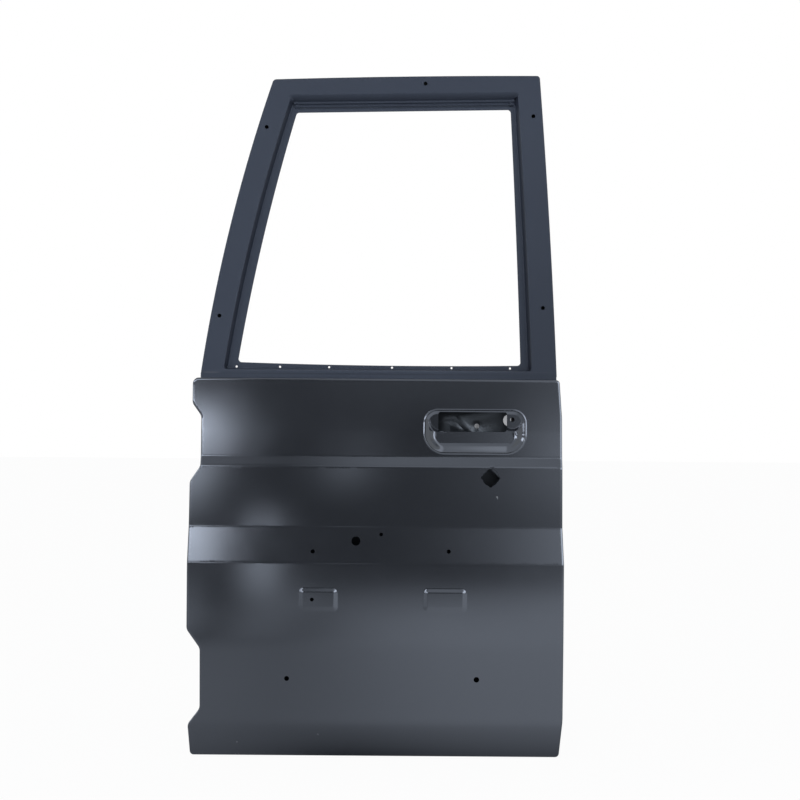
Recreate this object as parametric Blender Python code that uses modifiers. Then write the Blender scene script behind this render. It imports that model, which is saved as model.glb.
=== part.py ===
# Shell of a side-hinged vehicle door with an upright window frame, in pressed sheet steel.
#
# Door lines: x runs from the hinge wall towards the latch wall, y from the outermost plane of
# the lower panel into the vehicle, z up from the bottom hem. The empty "door_lines" carries
# every piece and puts the world origin at the middle of the upper hinge seat.

from math import atan2, cos, hypot, inf, pi, radians, sin, tan

import bmesh
import bpy
import numpy as np
from mathutils import Vector
from mathutils.geometry import delaunay_2d_cdt

# Sheet gauges and clearances
SKIN_GAUGE = 0.0008
PANEL_GAUGE = 0.0008
FRAME_GAUGE = 0.0010
HINGE_GAUGE = 0.0023
BRACKET_GAUGE = 0.0015
BRACE_GAUGE = 0.0009
FIT_GAP = 0.0003
HEM_GAP = 0.0005

# Walls of the tray and places of the hinges, which the rest is set from
WALL_LATCH = 0.600
WALL_FOOT = 0.022
WALL_CORNER = 0.030
UPPER_HINGE_Z = 0.5565
LOWER_HINGE_Z = 0.1385
HINGE_PLATE_HEIGHT = 0.110

# Outer skin: outline, from the hinge wall and the bottom hem
SKIN_TOP = 0.669
SKIN_LATCH_FLANGE = 0.030
SKIN_LATCH_EDGE = WALL_LATCH + SKIN_LATCH_FLANGE
SKIN_HINGE_EDGE = -0.0345
SKIN_BOTTOM_INSET = 0.0055
SKIN_BELT_INSET_LATCH = 0.0075
SKIN_BELT_INSET_HINGE = 0.0045
SKIN_SHOULDER_INSET = 0.002
SKIN_HANDLE_INSET = 0.003
SKIN_TOOTH_INSET = 0.002
SKIN_HINGE_TOP_RADIUS = 0.014
SKIN_LATCH_TOP_RADIUS = 0.007
SKIN_FOOT_RADIUS = 0.007
NOTCH_RADIUS = 0.016
UPPER_NOTCH_TOP_RUN = 0.0222
UPPER_NOTCH_FOOT_RUN = 0.027
LOWER_NOTCH_TOP_RUN = 0.033
LOWER_NOTCH_FOOT_RUN = 0.0285
UPPER_NOTCH_EDGE = -0.014
UPPER_NOTCH_HEIGHT = 0.089
LOWER_NOTCH_EDGE = -0.011
LOWER_NOTCH_HEIGHT = 0.107

# Outer skin: depth of its profile behind the lower panel
BELT_DEPTH = 0.029
GROOVE_TOP_DEPTH = 0.021
GROOVE_FOOT_DEPTH = 0.015
GROOVE_FOOT_Z = 0.5125
GROOVE_HEIGHT = 0.0175
SHOULDER_TOP_DEPTH = 0.0135
SHOULDER_TOP_Z = 0.406
SHOULDER_HEIGHT = 0.063
TUCK_Z = 0.066
TUCK_DEPTH = 0.0065
FOOT_DEPTH = 0.020
BULGE_Z = 0.200
BULGE_RADIUS = 0.600
BELT_BOW = 0.0015
CREASE_RADIUS = 0.006
SHOULDER_RADIUS = 0.012
SOFT_RADIUS = 0.150

# Hem and rolled edge of the skin
EDGE_ROLL = 0.010
EDGE_DROP = 0.0024
HEM_RETURN = 0.0075
HEM_INNER_EDGE = 0.0021
HEM_TURNS = (45, 90, 135)
ROLL_SHARES = (0.4, 0.7, 1.0)

# Handle recess, its opening and the two fixing bosses
RECESS_SETBACK = 0.1275
RECESS_X = WALL_LATCH - RECESS_SETBACK
RECESS_DROP = 0.093
RECESS_Z = SKIN_TOP - RECESS_DROP
RECESS_WIDTH = 0.179
RECESS_HEIGHT = 0.077
RECESS_TOP_RADIUS = 0.023
RECESS_FOOT_RADIUS = 0.035
RECESS_DEPTH = 0.018
RECESS_RAMP = 0.016
RAMP_SHARES = (0.35, 0.65, 1.0)
RECESS_LIP = 0.0009
RECESS_LIP_WIDTH = 0.0024
GRIP_WIDTH = 0.122
GRIP_HEIGHT = 0.0353
GRIP_DROP = 0.0035
GRIP_RADIUS = 0.004
GRIP_SHIFT = -0.0042
BOSS_RADIUS_LATCH = 0.0155
BOSS_RADIUS_HINGE = 0.019
BOSS_INSET_LATCH = 0.023
BOSS_INSET_HINGE = 0.029
BOSS_DROP = 0.0165
BOSS_DEPTH = 0.006
BOSS_BLEND = 0.004
BOSS_HOLE = 0.008

# Lock hole, lamp and plate holes, plate pads
LOCK_SETBACK = 0.101
LOCK_X = WALL_LATCH - LOCK_SETBACK
LOCK_Z = 0.493
LOCK_RADIUS = 0.0124
LOCK_TIP = 0.0156
LOCK_TIP_WIDTH = 0.005
LOCK_ARC_SHARES = (0.30, 0.5, 0.70)
PLATE_SHIFT = 0.0099
PLATE_X = WALL_LATCH / 2 + PLATE_SHIFT
WIRE_HOLE = (PLATE_X - 0.0469, 0.382, 0.0158)
LAMP_HOLES = ((PLATE_X - 0.0025, 0.3937, 0.0062), (PLATE_X - 0.1230, 0.3636, 0.0074),
              (PLATE_X + 0.1168, 0.3649, 0.0072))
PLATE_HOLES = ((PLATE_X - 0.1672, 0.1395, 0.0086), (PLATE_X + 0.1672, 0.1396, 0.0098))
PAD_Z = 0.2795
PAD_HEIGHT = 0.042
PAD_RISE = 0.0026
PAD_BORDER = 0.0085
PAD_SHARES = (0.0, 0.3, 0.7, 1.0)
PAD_RADIUS = 0.009
HINGE_PAD_X = PLATE_X - 0.1125
HINGE_PAD_WIDTH = 0.070
LATCH_PAD_X = PLATE_X + 0.1107
LATCH_PAD_WIDTH = 0.078
PAD_HOLE_SHIFT = -0.011
PAD_HOLE = 0.0067

# Window frame: a ring of box section that leans back
FRAME_DEPTH = 0.037
FRAME_LEAN = 3.0
FRAME_FACE_Y = 0.039
FRAME_BELT_RISE = 0.003
FRAME_BELT_Z = SKIN_TOP + FRAME_BELT_RISE
FRAME_FOOT_CLEAR = 0.0165
FRAME_FOOT = UPPER_HINGE_Z + HINGE_PLATE_HEIGHT / 2 + FRAME_FOOT_CLEAR
FRAME_HINGE_EDGE = -0.018
FRAME_LATCH_OVERLAP = 0.0185
FRAME_LATCH_EDGE = WALL_LATCH + FRAME_LATCH_OVERLAP
FRAME_TOP_HINGE = (0.1065, 1.2080)
FRAME_TOP_LATCH = (FRAME_LATCH_EDGE - 0.0320, 1.2178)
FRAME_HINGE_BOW = 0.0125
FRAME_LATCH_BOW = 0.0025
FRAME_TOP_BOW = 0.0020
FRAME_CORNER = 0.004
FRAME_BEND = 0.002
FRAME_RETURN = 0.011
NEST_DEPTH = 0.005
FLANGE_SETBACK = 0.0008
REBATE_FOOT_Z = FRAME_BELT_Z + 0.012
REBATE_HINGE_FOOT = 0.0222
REBATE_LATCH_FOOT = FRAME_LATCH_EDGE - 0.0439
REBATE_TOP_HINGE = (0.138, 1.1775)
REBATE_TOP_LATCH = (FRAME_LATCH_EDGE - 0.0705, 1.185)
REBATE_HINGE_BOW = 0.0100
REBATE_LATCH_BOW = 0.0020
REBATE_RADIUS = 0.006
REBATE_DEPTH = 0.016
REBATE_DRAFT = 0.004
OPENING_HINGE_FOOT = (0.0475, REBATE_FOOT_Z + 0.0135)
OPENING_LATCH_FOOT = (FRAME_LATCH_EDGE - 0.0640, REBATE_FOOT_Z + 0.0105)
OPENING_TOP_LATCH = (FRAME_LATCH_EDGE - 0.0835, 1.1580)
OPENING_TOP_HINGE = (0.1485, 1.1500)
OPENING_HINGE_BOW = 0.0070
OPENING_LATCH_BOW = 0.0012
OPENING_FOOT_BOW = 0.0030
OPENING_RADIUS = 0.006
FRAME_HOLE = 0.006
FRAME_HOLE_MARGIN = 0.0178
FRAME_HOLE_DROP = 0.011
FRAME_HOLES_HINGE_Z = (0.780, 1.121)
FRAME_HOLES_LATCH_Z = (0.798, 1.144)
FRAME_HOLE_TOP_X = FRAME_TOP_LATCH[0] - 0.2059
FLANGE_HOLE = 0.004
FLANGE_PUNCH_REACH = 0.012
FLANGE_HOLE_SHARES = (0.075, 0.205, 0.352, 0.540, 0.718, 0.893)
FLANGE_HOLE_X = [WALL_LATCH * share for share in FLANGE_HOLE_SHARES]
FLANGE_HOLE_Z = REBATE_FOOT_Z + 0.0055

# Inner panel: a tray behind the skin
TRAY_TOP_DROP = 0.017
TRAY_TOP = SKIN_TOP - TRAY_TOP_DROP
TRAY_BEND = 0.004
WALL_FLARE = 0.0015
LAND_DEPTH = 0.003
LAND_BORDER = 0.016
LAND_RAMP = 0.004
SERVICE_UPPER = (0.078, 0.412, WALL_LATCH - 0.132, RECESS_Z - 0.030)
SERVICE_LOWER = (0.165, 0.074, WALL_LATCH - 0.145, 0.262)
SERVICE_RADIUS = 0.034
SIGHT_HOLE = (RECESS_X + 0.0637, RECESS_Z + 0.0201, 0.022)
DISH_HOLE = (RECESS_X + 0.0055, RECESS_Z + 0.0092, 0.0098)
DISH_RING = 0.0275
DISH_DEPTH = 0.003
DISH_FLAT = 0.001
RIB_HEIGHT = 0.0025
RIB_WIDTH = 0.0055
RIB_LINES = (((RECESS_X - 0.0310, RECESS_Z + 0.0238), (RECESS_X - 0.0095, RECESS_Z + 0.0018)),
             ((RECESS_X - 0.0405, RECESS_Z + 0.0134), (RECESS_X - 0.0265, RECESS_Z + 0.0034)))
CLIP_HOLE = 0.0085
CLIP_MARGIN = 0.028
CLIP_COUNT = 5
DRAIN_WIDTH = 0.032
DRAIN_HEIGHT = 0.009
DRAIN_SHARES = (0.22, 0.78)
PUNCH_REACH = 0.010

# Hinges, on the hinge wall
HINGE_SEAT_Y = 0.052
HINGE_BOLT_PITCH = 0.050
HINGE_BOLT_HOLE = 0.013
HINGE_PLATE_WIDTH = 0.034
HINGE_PLATE_FOLD = 0.020
NUT_PLATE_WIDTH = 0.022
NUT_PLATE_HEIGHT = 0.080
NUT_PLATE_THICK = 0.008
NUT_PLATE_THREAD = 0.0085
NUT_PLATE_BEVEL = 0.001
CAGE_HEIGHT = 0.018
CAGE_GAUGE = 0.0010
CAGE_FOOT = 0.005
CAGE_PLAY = 0.0008

# Check link, between the hinges
CHECK_Z = 0.352
CHECK_SLOT_WIDTH = 0.012
CHECK_SLOT_HEIGHT = 0.034
CHECK_BOLT_PITCH = 0.062
CHECK_BOLT_HOLE = 0.0068
CHECK_PLATE_HEIGHT = 0.096
CHECK_PLATE_WIDTH = 0.028
WELD_NUT_ACROSS = 0.013
WELD_NUT_THICK = 0.006
WELD_NUT_THREAD = 0.0061

# Latch, on the latch wall
LATCH_Z = 0.520
LATCH_Y = 0.050
LATCH_MOUTH_WIDTH = 0.022
LATCH_MOUTH_HEIGHT = 0.023
LATCH_BOLT_RING = 0.036
LATCH_BOLT_REACH = 0.0151
LATCH_BOLT_HOLE = 0.0075
LATCH_BOLT_ANGLES = (90, -35, -145)
LATCH_PLATE_HEIGHT = 0.112
LATCH_PLATE_WIDTH = 0.036
LATCH_PLATE_FOLD = 0.020

# Belt rail, lock plate and skin braces
BELT_RAIL_RISE = 0.0085
BELT_RAIL_STEP = 0.012
BELT_RAIL_LEG = 0.013
BELT_RAIL_BEND = 0.003
BELT_RAIL_KNEE = 0.004
BELT_RAIL_INSET = 0.001
BELT_RAIL_CLEAR = 0.002
LOCK_PLATE_SIZE = 0.046
LOCK_PLATE_RADIUS = 0.008
LOCK_PLATE_CLEARANCE = 0.0015
BRACE_UPPER_Z = 0.438
BRACE_LOWER_Z = 0.196
BRACE_DEPTH = 0.016
BRACE_CROWN = 0.022
BRACE_FLANGE = 0.013
BRACE_TAPER = 0.006
BRACE_BEND = 0.003
MASTIC_THICK = 0.003
MASTIC_WIDTH = 0.009
MASTIC_LENGTH = 0.040
MASTIC_BEVEL = 0.0012
MASTIC_COUNT = 3

# Facets
ARC_STEPS = 3
HOLE_STEPS = 10
BOW_STEPS = 6
LONGEST_FILLET = 0.48
ROOM_SHARE = 0.94
STRAIGHT_TURN = 0.01
BEND_SHARE = 0.3
SHARP_ANGLE = 28
MERGE_DISTANCE = 1e-7

# Finishes: colour, roughness, metallic
PAINT_OUTER = ((0.050, 0.056, 0.070), 0.30, 0.0)
PAINT_FRAME = ((0.055, 0.062, 0.080), 0.36, 0.0)
PAINT_INNER = ((0.042, 0.046, 0.056), 0.42, 0.0)
PAINT_HEAVY = ((0.036, 0.039, 0.046), 0.45, 0.0)
MASTIC = ((0.020, 0.020, 0.022), 0.85, 0.0)


# Flat outlines

def corner_arc(before, corner, after, radius, steps=ARC_STEPS):
    """One filleted corner as outline stations: point, inward normal, room for an inset, miter."""
    into = (corner - before).normalized()
    out = (after - corner).normalized()
    turn = atan2(into.x * out.y - into.y * out.x, into.dot(out))
    side_in, side_out = Vector((-into.y, into.x)), Vector((-out.y, out.x))
    miter = (side_in + side_out) / (1 + side_in.dot(side_out))
    if radius <= 0 or abs(turn) < STRAIGHT_TURN:
        return [(corner, miter, inf, miter)]
    reach = min(radius * tan(abs(turn) / 2), LONGEST_FILLET * (corner - before).length,
                LONGEST_FILLET * (after - corner).length)
    radius = reach / tan(abs(turn) / 2)
    hand = 1 if turn > 0 else -1
    start = corner - into * reach
    centre = start + side_in * radius * hand
    room = ROOM_SHARE * radius if hand > 0 else inf
    stations = []
    for step in range(steps + 1):
        angle = turn * step / steps
        spoke = start - centre
        swung = Vector((spoke.x * cos(angle) - spoke.y * sin(angle),
                        spoke.x * sin(angle) + spoke.y * cos(angle)))
        stations.append((centre + swung, -swung / radius * hand, room, miter))
    return stations


def filleted(corners, steps=ARC_STEPS):
    """A closed outline, counter-clockwise, through (x, z, radius) corners."""
    places = [Vector(corner[:2]) for corner in corners]
    count = len(places)
    stations = []
    for index, corner in enumerate(corners):
        radius = corner[2] if len(corner) > 2 else 0
        stations += corner_arc(places[index - 1], places[index], places[(index + 1) % count],
                               radius, steps)
    return stations


def with_rows(stations, rows, axis=1, margin=0.001):
    """Adds a station wherever a side crosses one of the rows, or one of the columns on axis 0."""
    result = []
    for index, station in enumerate(stations):
        result.append(station)
        here, there = station[0], stations[(index + 1) % len(stations)][0]
        rise = there[axis] - here[axis]
        if abs(rise) < 2 * margin:
            continue
        along = (there - here).normalized()
        normal = Vector((-along.y, along.x))
        low = min(here[axis], there[axis]) + margin
        high = max(here[axis], there[axis]) - margin
        crossed = sorted((row for row in rows if low < row < high), reverse=rise < 0)
        for row in crossed:
            place = here.lerp(there, (row - here[axis]) / rise)
            result.append((place, normal, inf, normal))
    return result


def inset(stations, distance):
    """The outline moved inwards by a distance, with the same number of points."""
    moved = []
    for place, normal, room, miter in stations:
        first = min(distance, room)
        moved.append(tuple(place + normal * first + miter * (distance - first)))
    return moved


def bowed(start, end, bow, steps=BOW_STEPS):
    """Points between two corners on a shallow arc that bows to the right of its direction."""
    start, end = Vector(start), Vector(end)
    along = end - start
    outward = Vector((along.y, -along.x)).normalized()
    shares = [step / steps for step in range(1, steps)]
    return [tuple(start.lerp(end, t) + outward * bow * 4 * t * (1 - t)) for t in shares]


def circle(x, z, diameter, steps=HOLE_STEPS):
    """A round hole's outline."""
    turns = [2 * pi * (step + 0.5) / steps for step in range(steps)]
    return [(x + diameter / 2 * cos(turn), z + diameter / 2 * sin(turn)) for turn in turns]


def box_corners(left, foot, right, top, radius):
    """Corners of an upright rectangle, counter-clockwise."""
    return [(left, foot, radius), (right, foot, radius), (right, top, radius), (left, top, radius)]


def inside_distance(x, z, middle_x, middle_z, width, height, radius):
    """How far a point lies inside a rounded rectangle, negative outside it."""
    across = abs(x - middle_x) - (width / 2 - radius)
    up = abs(z - middle_z) - (height / 2 - radius)
    return radius - hypot(max(across, 0), max(up, 0)) - min(max(across, up), 0)


def ease(share):
    """Smooth step from 0 to 1."""
    share = min(max(share, 0.0), 1.0)
    return share * share * (3 - 2 * share)


# Sheets: flat blanks pressed to a depth, joined to bent strips

class Sheet:
    """One open surface of sheet metal, later thickened to its gauge."""

    def __init__(self):
        self.mesh = bmesh.new()

    def ring(self, outline, depth):
        """A row of vertices at the outline's points; depth is a value or a function of x, z."""
        return [self.mesh.verts.new((x, depth(x, z) if callable(depth) else depth, z))
                for x, z in outline]

    def strip(self, rings, closed=True):
        """Bands between rings with matching points, listed from the outside inwards."""
        for outer, inner in zip(rings, rings[1:]):
            count = len(outer) if closed else len(outer) - 1
            for index in range(count):
                after = (index + 1) % len(outer)
                self.mesh.faces.new((outer[index], outer[after], inner[after], inner[index]))

    def patch(self, border, depth, rims=(), holes=(), creases=(), rows=()):
        """Fills the border with a pressed blank.

        rims are rings of vertices around holes that carry on as strips, holes are plain
        cut-outs, creases are closed loops and rows are heights that get their own edges.
        """
        rings = [list(border)] + [list(rim) for rim in rims]
        known = [vertex for ring in rings for vertex in ring]
        points = [Vector((vertex.co.x, vertex.co.z)) for vertex in known]
        faces, edges, first = [], [], 0
        for ring in rings:
            faces.append(list(range(first, first + len(ring))))
            first += len(ring)
        for loop in holes:
            faces.append(list(range(first, first + len(loop))))
            points += [Vector(point) for point in loop]
            first += len(loop)
        for loop in creases:
            count = len(loop)
            edges += [(first + i, first + (i + 1) % count) for i in range(count)]
            points += [Vector(point) for point in loop]
            first += count
        for start, end in self.row_lines([vertex.co for vertex in border], rows):
            edges.append((first, first + 1))
            points += [start, end]
            first += 2
        places, _, triangles, sources, _, owners = delaunay_2d_cdt(
            points, edges, faces, 1, MERGE_DISTANCE)
        vertices = {}
        for triangle, owner in zip(triangles, owners):
            if list(owner) != [0]:
                continue
            corner_vertices = []
            for index in triangle:
                if index not in vertices:
                    vertices[index] = self.placed(places[index], sources[index], known, depth)
                corner_vertices.append(vertices[index])
            self.mesh.faces.new(corner_vertices)

    def placed(self, place, sources, known, depth):
        """The vertex at a place of the blank: the ring's own one, or a new one at its depth."""
        for source in sources:
            if source < len(known):
                return known[source]
        return self.mesh.verts.new((place.x, depth(place.x, place.y), place.y))

    def row_lines(self, border, rows, margin=0.0015):
        """Level lines across the border, ending just short of it."""
        lines = []
        for row in rows:
            crossings = []
            for index, start in enumerate(border):
                end = border[(index + 1) % len(border)]
                if (start.z - row) * (end.z - row) < 0:
                    share = (row - start.z) / (end.z - start.z)
                    crossings.append(start.x + (end.x - start.x) * share)
            crossings.sort()
            for left, right in zip(crossings[::2], crossings[1::2]):
                if right - left > 3 * margin:
                    lines.append((Vector((left + margin, row)), Vector((right - margin, row))))
        return lines

    def finish(self, name, gauge, inward=False):
        """Turns the surface into an object; inward puts its listed side towards the cabin."""
        if inward:
            bmesh.ops.reverse_faces(self.mesh, faces=self.mesh.faces)
        data = bpy.data.meshes.new(name)
        self.mesh.to_mesh(data)
        self.mesh.free()
        piece = add_part(name, data)
        thicken(piece, gauge)
        return piece


def add_part(name, data):
    """Puts a mesh among the door's pieces, carried by the door lines."""
    piece = bpy.data.objects.new(name, data)
    parts.objects.link(piece)
    piece.parent = door_lines
    return piece


def thicken(piece, gauge, offset=-1):
    """Gives a surface its gauge, away from its listed side."""
    solid = piece.modifiers.new("gauge", 'SOLIDIFY')
    solid.thickness = gauge
    solid.offset = offset
    solid.use_even_offset = True
    solid.use_quality_normals = True


def paint(piece, finish):
    """The piece's own material."""
    colour, roughness, metallic = finish
    material = bpy.data.materials.new(piece.name + "_finish")
    material.use_nodes = True
    shader = material.node_tree.nodes["Principled BSDF"]
    shader.inputs["Base Color"].default_value = (*colour, 1)
    shader.inputs["Roughness"].default_value = roughness
    shader.inputs["Metallic"].default_value = metallic
    material.diffuse_color = (*colour, 1)
    piece.data.materials.append(material)
    piece.data.shade_smooth()
    piece.data.set_sharp_from_angle(angle=radians(SHARP_ANGLE))


def cut(piece, cutters):
    """Takes the cutters out of the piece."""
    for cutter in cutters:
        hole = piece.modifiers.new(cutter.name, 'BOOLEAN')
        hole.operation = 'DIFFERENCE'
        hole.object = cutter


def cutter_from(name, mesh):
    """A guide object that only cuts."""
    data = bpy.data.meshes.new(name)
    mesh.to_mesh(data)
    mesh.free()
    cutter = bpy.data.objects.new(name, data)
    cutters.objects.link(cutter)
    cutter.parent = door_lines
    cutter.hide_render = True
    cutter.display_type = 'WIRE'
    return cutter


def wall_punch(name, y, z, diameter, x, reach=0.020):
    """A round punch along x through a side wall."""
    mesh = bmesh.new()
    bmesh.ops.create_cone(mesh, cap_ends=True, segments=HOLE_STEPS + 2, radius1=diameter / 2,
                          radius2=diameter / 2, depth=reach)
    for vertex in mesh.verts:
        vertex.co = Vector((x + vertex.co.z, y + vertex.co.y, z - vertex.co.x))
    return cutter_from(name, mesh)


def box_punch(name, low, high):
    """A square punch between two corners."""
    mesh = bmesh.new()
    bmesh.ops.create_cube(mesh, size=1)
    middle = (Vector(low) + Vector(high)) / 2
    size = Vector(high) - Vector(low)
    for vertex in mesh.verts:
        vertex.co = middle + vertex.co * size
    return cutter_from(name, mesh)


def folded(name, section, start, end, gauge, place, steps=2):
    """A rail or bracket: a folded section, given as (u, v, radius) corners, carried along a line."""
    corners = [Vector(corner[:2]) for corner in section]
    line = [corners[0]]
    for index in range(1, len(section) - 1):
        arc = corner_arc(corners[index - 1], corners[index], corners[index + 1],
                         section[index][2], steps)
        line += [station[0] for station in arc]
    line.append(corners[-1])
    mesh = bmesh.new()
    rows = [[mesh.verts.new(place(u, v, along)) for u, v in line] for along in (start, end)]
    for index in range(len(line) - 1):
        mesh.faces.new((rows[0][index], rows[0][index + 1], rows[1][index + 1], rows[1][index]))
    data = bpy.data.meshes.new(name)
    mesh.to_mesh(data)
    mesh.free()
    piece = add_part(name, data)
    thicken(piece, gauge)
    return piece


# Outer skin

def skin_profile():
    """The skin's upright section as (z, depth) points, from the hem to the belt."""
    groove_top = GROOVE_FOOT_Z + GROOVE_HEIGHT
    shoulder_foot = SHOULDER_TOP_Z - SHOULDER_HEIGHT
    belt_middle = (GROOVE_TOP_DEPTH + BELT_DEPTH) / 2 - BELT_BOW
    corners = [(0.0, FOOT_DEPTH, 0),
               (TUCK_Z, TUCK_DEPTH, SOFT_RADIUS),
               (BULGE_Z, 0.0, BULGE_RADIUS),
               (shoulder_foot, 0.0, SHOULDER_RADIUS),
               (SHOULDER_TOP_Z, SHOULDER_TOP_DEPTH, SHOULDER_RADIUS),
               (GROOVE_FOOT_Z, GROOVE_FOOT_DEPTH, CREASE_RADIUS),
               (groove_top, GROOVE_TOP_DEPTH, CREASE_RADIUS),
               (RECESS_Z, belt_middle, SOFT_RADIUS),
               (SKIN_TOP, BELT_DEPTH, 0)]
    places = [Vector(corner[:2]) for corner in corners]
    line = [places[0]]
    for index in range(1, len(corners) - 1):
        steps = 4 if corners[index][2] >= SOFT_RADIUS else 2
        arc = corner_arc(places[index - 1], places[index], places[index + 1],
                         corners[index][2], steps)
        line += [station[0] for station in arc]
    line.append(places[-1])
    return [point.x for point in line], [point.y for point in line]


def skin_corners():
    """Corners of the skin, counter-clockwise from the bottom of the hinge side."""
    upper_out = SKIN_HINGE_EDGE + SKIN_BELT_INSET_HINGE
    upper_top = UPPER_HINGE_Z + UPPER_NOTCH_HEIGHT / 2
    upper_foot = UPPER_HINGE_Z - UPPER_NOTCH_HEIGHT / 2
    lower_top = LOWER_HINGE_Z + LOWER_NOTCH_HEIGHT / 2
    lower_foot = LOWER_HINGE_Z - LOWER_NOTCH_HEIGHT / 2
    shoulder_foot = SHOULDER_TOP_Z - SHOULDER_HEIGHT
    return [
        (SKIN_HINGE_EDGE + SKIN_BOTTOM_INSET, 0.0, SKIN_FOOT_RADIUS),
        (SKIN_LATCH_EDGE - SKIN_BOTTOM_INSET, 0.0, SKIN_FOOT_RADIUS),
        (SKIN_LATCH_EDGE, TUCK_Z, SOFT_RADIUS),
        (SKIN_LATCH_EDGE, shoulder_foot, SOFT_RADIUS),
        (SKIN_LATCH_EDGE - SKIN_SHOULDER_INSET, SHOULDER_TOP_Z, SOFT_RADIUS),
        (SKIN_LATCH_EDGE - SKIN_HANDLE_INSET, upper_top, SOFT_RADIUS),
        (SKIN_LATCH_EDGE - SKIN_BELT_INSET_LATCH, SKIN_TOP, SKIN_LATCH_TOP_RADIUS),
        (upper_out, SKIN_TOP, SKIN_HINGE_TOP_RADIUS),
        (upper_out, upper_top + UPPER_NOTCH_TOP_RUN, NOTCH_RADIUS),
        (UPPER_NOTCH_EDGE, upper_top, NOTCH_RADIUS),
        (UPPER_NOTCH_EDGE, upper_foot, NOTCH_RADIUS),
        (SKIN_HINGE_EDGE + SKIN_TOOTH_INSET, upper_foot - UPPER_NOTCH_FOOT_RUN, NOTCH_RADIUS),
        (SKIN_HINGE_EDGE, shoulder_foot, SOFT_RADIUS),
        (SKIN_HINGE_EDGE, lower_top + LOWER_NOTCH_TOP_RUN, NOTCH_RADIUS),
        (LOWER_NOTCH_EDGE, lower_top, NOTCH_RADIUS),
        (LOWER_NOTCH_EDGE, lower_foot, NOTCH_RADIUS),
        (SKIN_HINGE_EDGE + SKIN_TOOTH_INSET, lower_foot - LOWER_NOTCH_FOOT_RUN, NOTCH_RADIUS),
    ]


def profile_depth(z):
    """Depth of the plain skin at a height."""
    return float(np.interp(z, PROFILE_Z, PROFILE_DEPTH))


def grip_box():
    """Left, foot, right and top of the opening for the hand."""
    middle = RECESS_X + GRIP_SHIFT
    top = RECESS_Z + RECESS_HEIGHT / 2 - GRIP_DROP
    return middle - GRIP_WIDTH / 2, top - GRIP_HEIGHT, middle + GRIP_WIDTH / 2, top


def bosses():
    """The handle's fixing bosses as x, z, radius."""
    height = RECESS_Z + RECESS_HEIGHT / 2 - BOSS_DROP
    return ((RECESS_X - RECESS_WIDTH / 2 + BOSS_INSET_HINGE, height, BOSS_RADIUS_HINGE),
            (RECESS_X + RECESS_WIDTH / 2 - BOSS_INSET_LATCH, height, BOSS_RADIUS_LATCH))


def recess_depth(x, z):
    """Depth of the handle recess below the plain skin, with its raised lip and two bosses."""
    radius = RECESS_TOP_RADIUS if z > RECESS_Z else RECESS_FOOT_RADIUS
    inside = inside_distance(x, z, RECESS_X, RECESS_Z, RECESS_WIDTH, RECESS_HEIGHT, radius)
    if inside < 0:
        return -RECESS_LIP * ease(1 + inside / RECESS_LIP_WIDTH)
    bowl = RECESS_DEPTH * ease(inside / RECESS_RAMP)
    bowl -= RECESS_LIP * (1 - ease(inside / RECESS_LIP_WIDTH))
    for boss_x, boss_z, boss_radius in bosses():
        blend = ease((hypot(x - boss_x, z - boss_z) - boss_radius) / BOSS_BLEND)
        level = min(bowl, BOSS_DEPTH)
        bowl = level + (bowl - level) * blend
    return bowl


def pads():
    """The two raised pads for the plate carrier as middle x and width."""
    return ((HINGE_PAD_X, HINGE_PAD_WIDTH), (LATCH_PAD_X, LATCH_PAD_WIDTH))


def skin_depth(x, z):
    """Depth of the pressed skin."""
    depth = profile_depth(z) + recess_depth(x, z)
    for middle, width in pads():
        inside = inside_distance(x, z, middle, PAD_Z, width, PAD_HEIGHT, PAD_RADIUS)
        depth -= PAD_RISE * ease(inside / PAD_BORDER)
    return depth


def edge_roll(distance):
    """How far the skin has rolled back at a distance from its edge."""
    return EDGE_DROP * max(0.0, 1 - distance / EDGE_ROLL) ** 2


def lock_hole(grow=0.0):
    """Outline of the lock hole: a circle with four squared tips."""
    radius, tip = LOCK_RADIUS + grow, LOCK_TIP + grow
    points = []
    for quarter in range(4):
        turn = quarter * pi / 2
        for reach, side in ((tip, -LOCK_TIP_WIDTH / 2), (tip, LOCK_TIP_WIDTH / 2)):
            points.append((LOCK_X + reach * cos(turn) - side * sin(turn),
                           LOCK_Z + reach * sin(turn) + side * cos(turn)))
        for share in LOCK_ARC_SHARES:
            swing = turn + share * pi / 2
            points.append((LOCK_X + radius * cos(swing), LOCK_Z + radius * sin(swing)))
    return points


def recess_loops():
    """Loops round the handle recess that carry its lip, ramp and bosses."""
    left, right = RECESS_X - RECESS_WIDTH / 2, RECESS_X + RECESS_WIDTH / 2
    foot, top = RECESS_Z - RECESS_HEIGHT / 2, RECESS_Z + RECESS_HEIGHT / 2
    rim = filleted([(left, foot, RECESS_FOOT_RADIUS), (right, foot, RECESS_FOOT_RADIUS),
                    (right, top, RECESS_TOP_RADIUS), (left, top, RECESS_TOP_RADIUS)], 5)
    steps = [-RECESS_LIP_WIDTH, 0.0, RECESS_LIP_WIDTH] + [share * RECESS_RAMP for share in RAMP_SHARES]
    loops = [inset(rim, step) for step in steps]
    for boss_x, boss_z, boss_radius in bosses():
        loops.append(circle(boss_x, boss_z, 2 * boss_radius, 16))
        loops.append(circle(boss_x, boss_z, 2 * (boss_radius + BOSS_BLEND), 16))
    return loops


def pad_loops():
    """Loops round the two plate pads."""
    loops = []
    for middle, width in pads():
        rim = filleted(box_corners(middle - width / 2, PAD_Z - PAD_HEIGHT / 2, middle + width / 2,
                                   PAD_Z + PAD_HEIGHT / 2, PAD_RADIUS))
        loops += [inset(rim, share * PAD_BORDER) for share in PAD_SHARES]
    return loops


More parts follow.
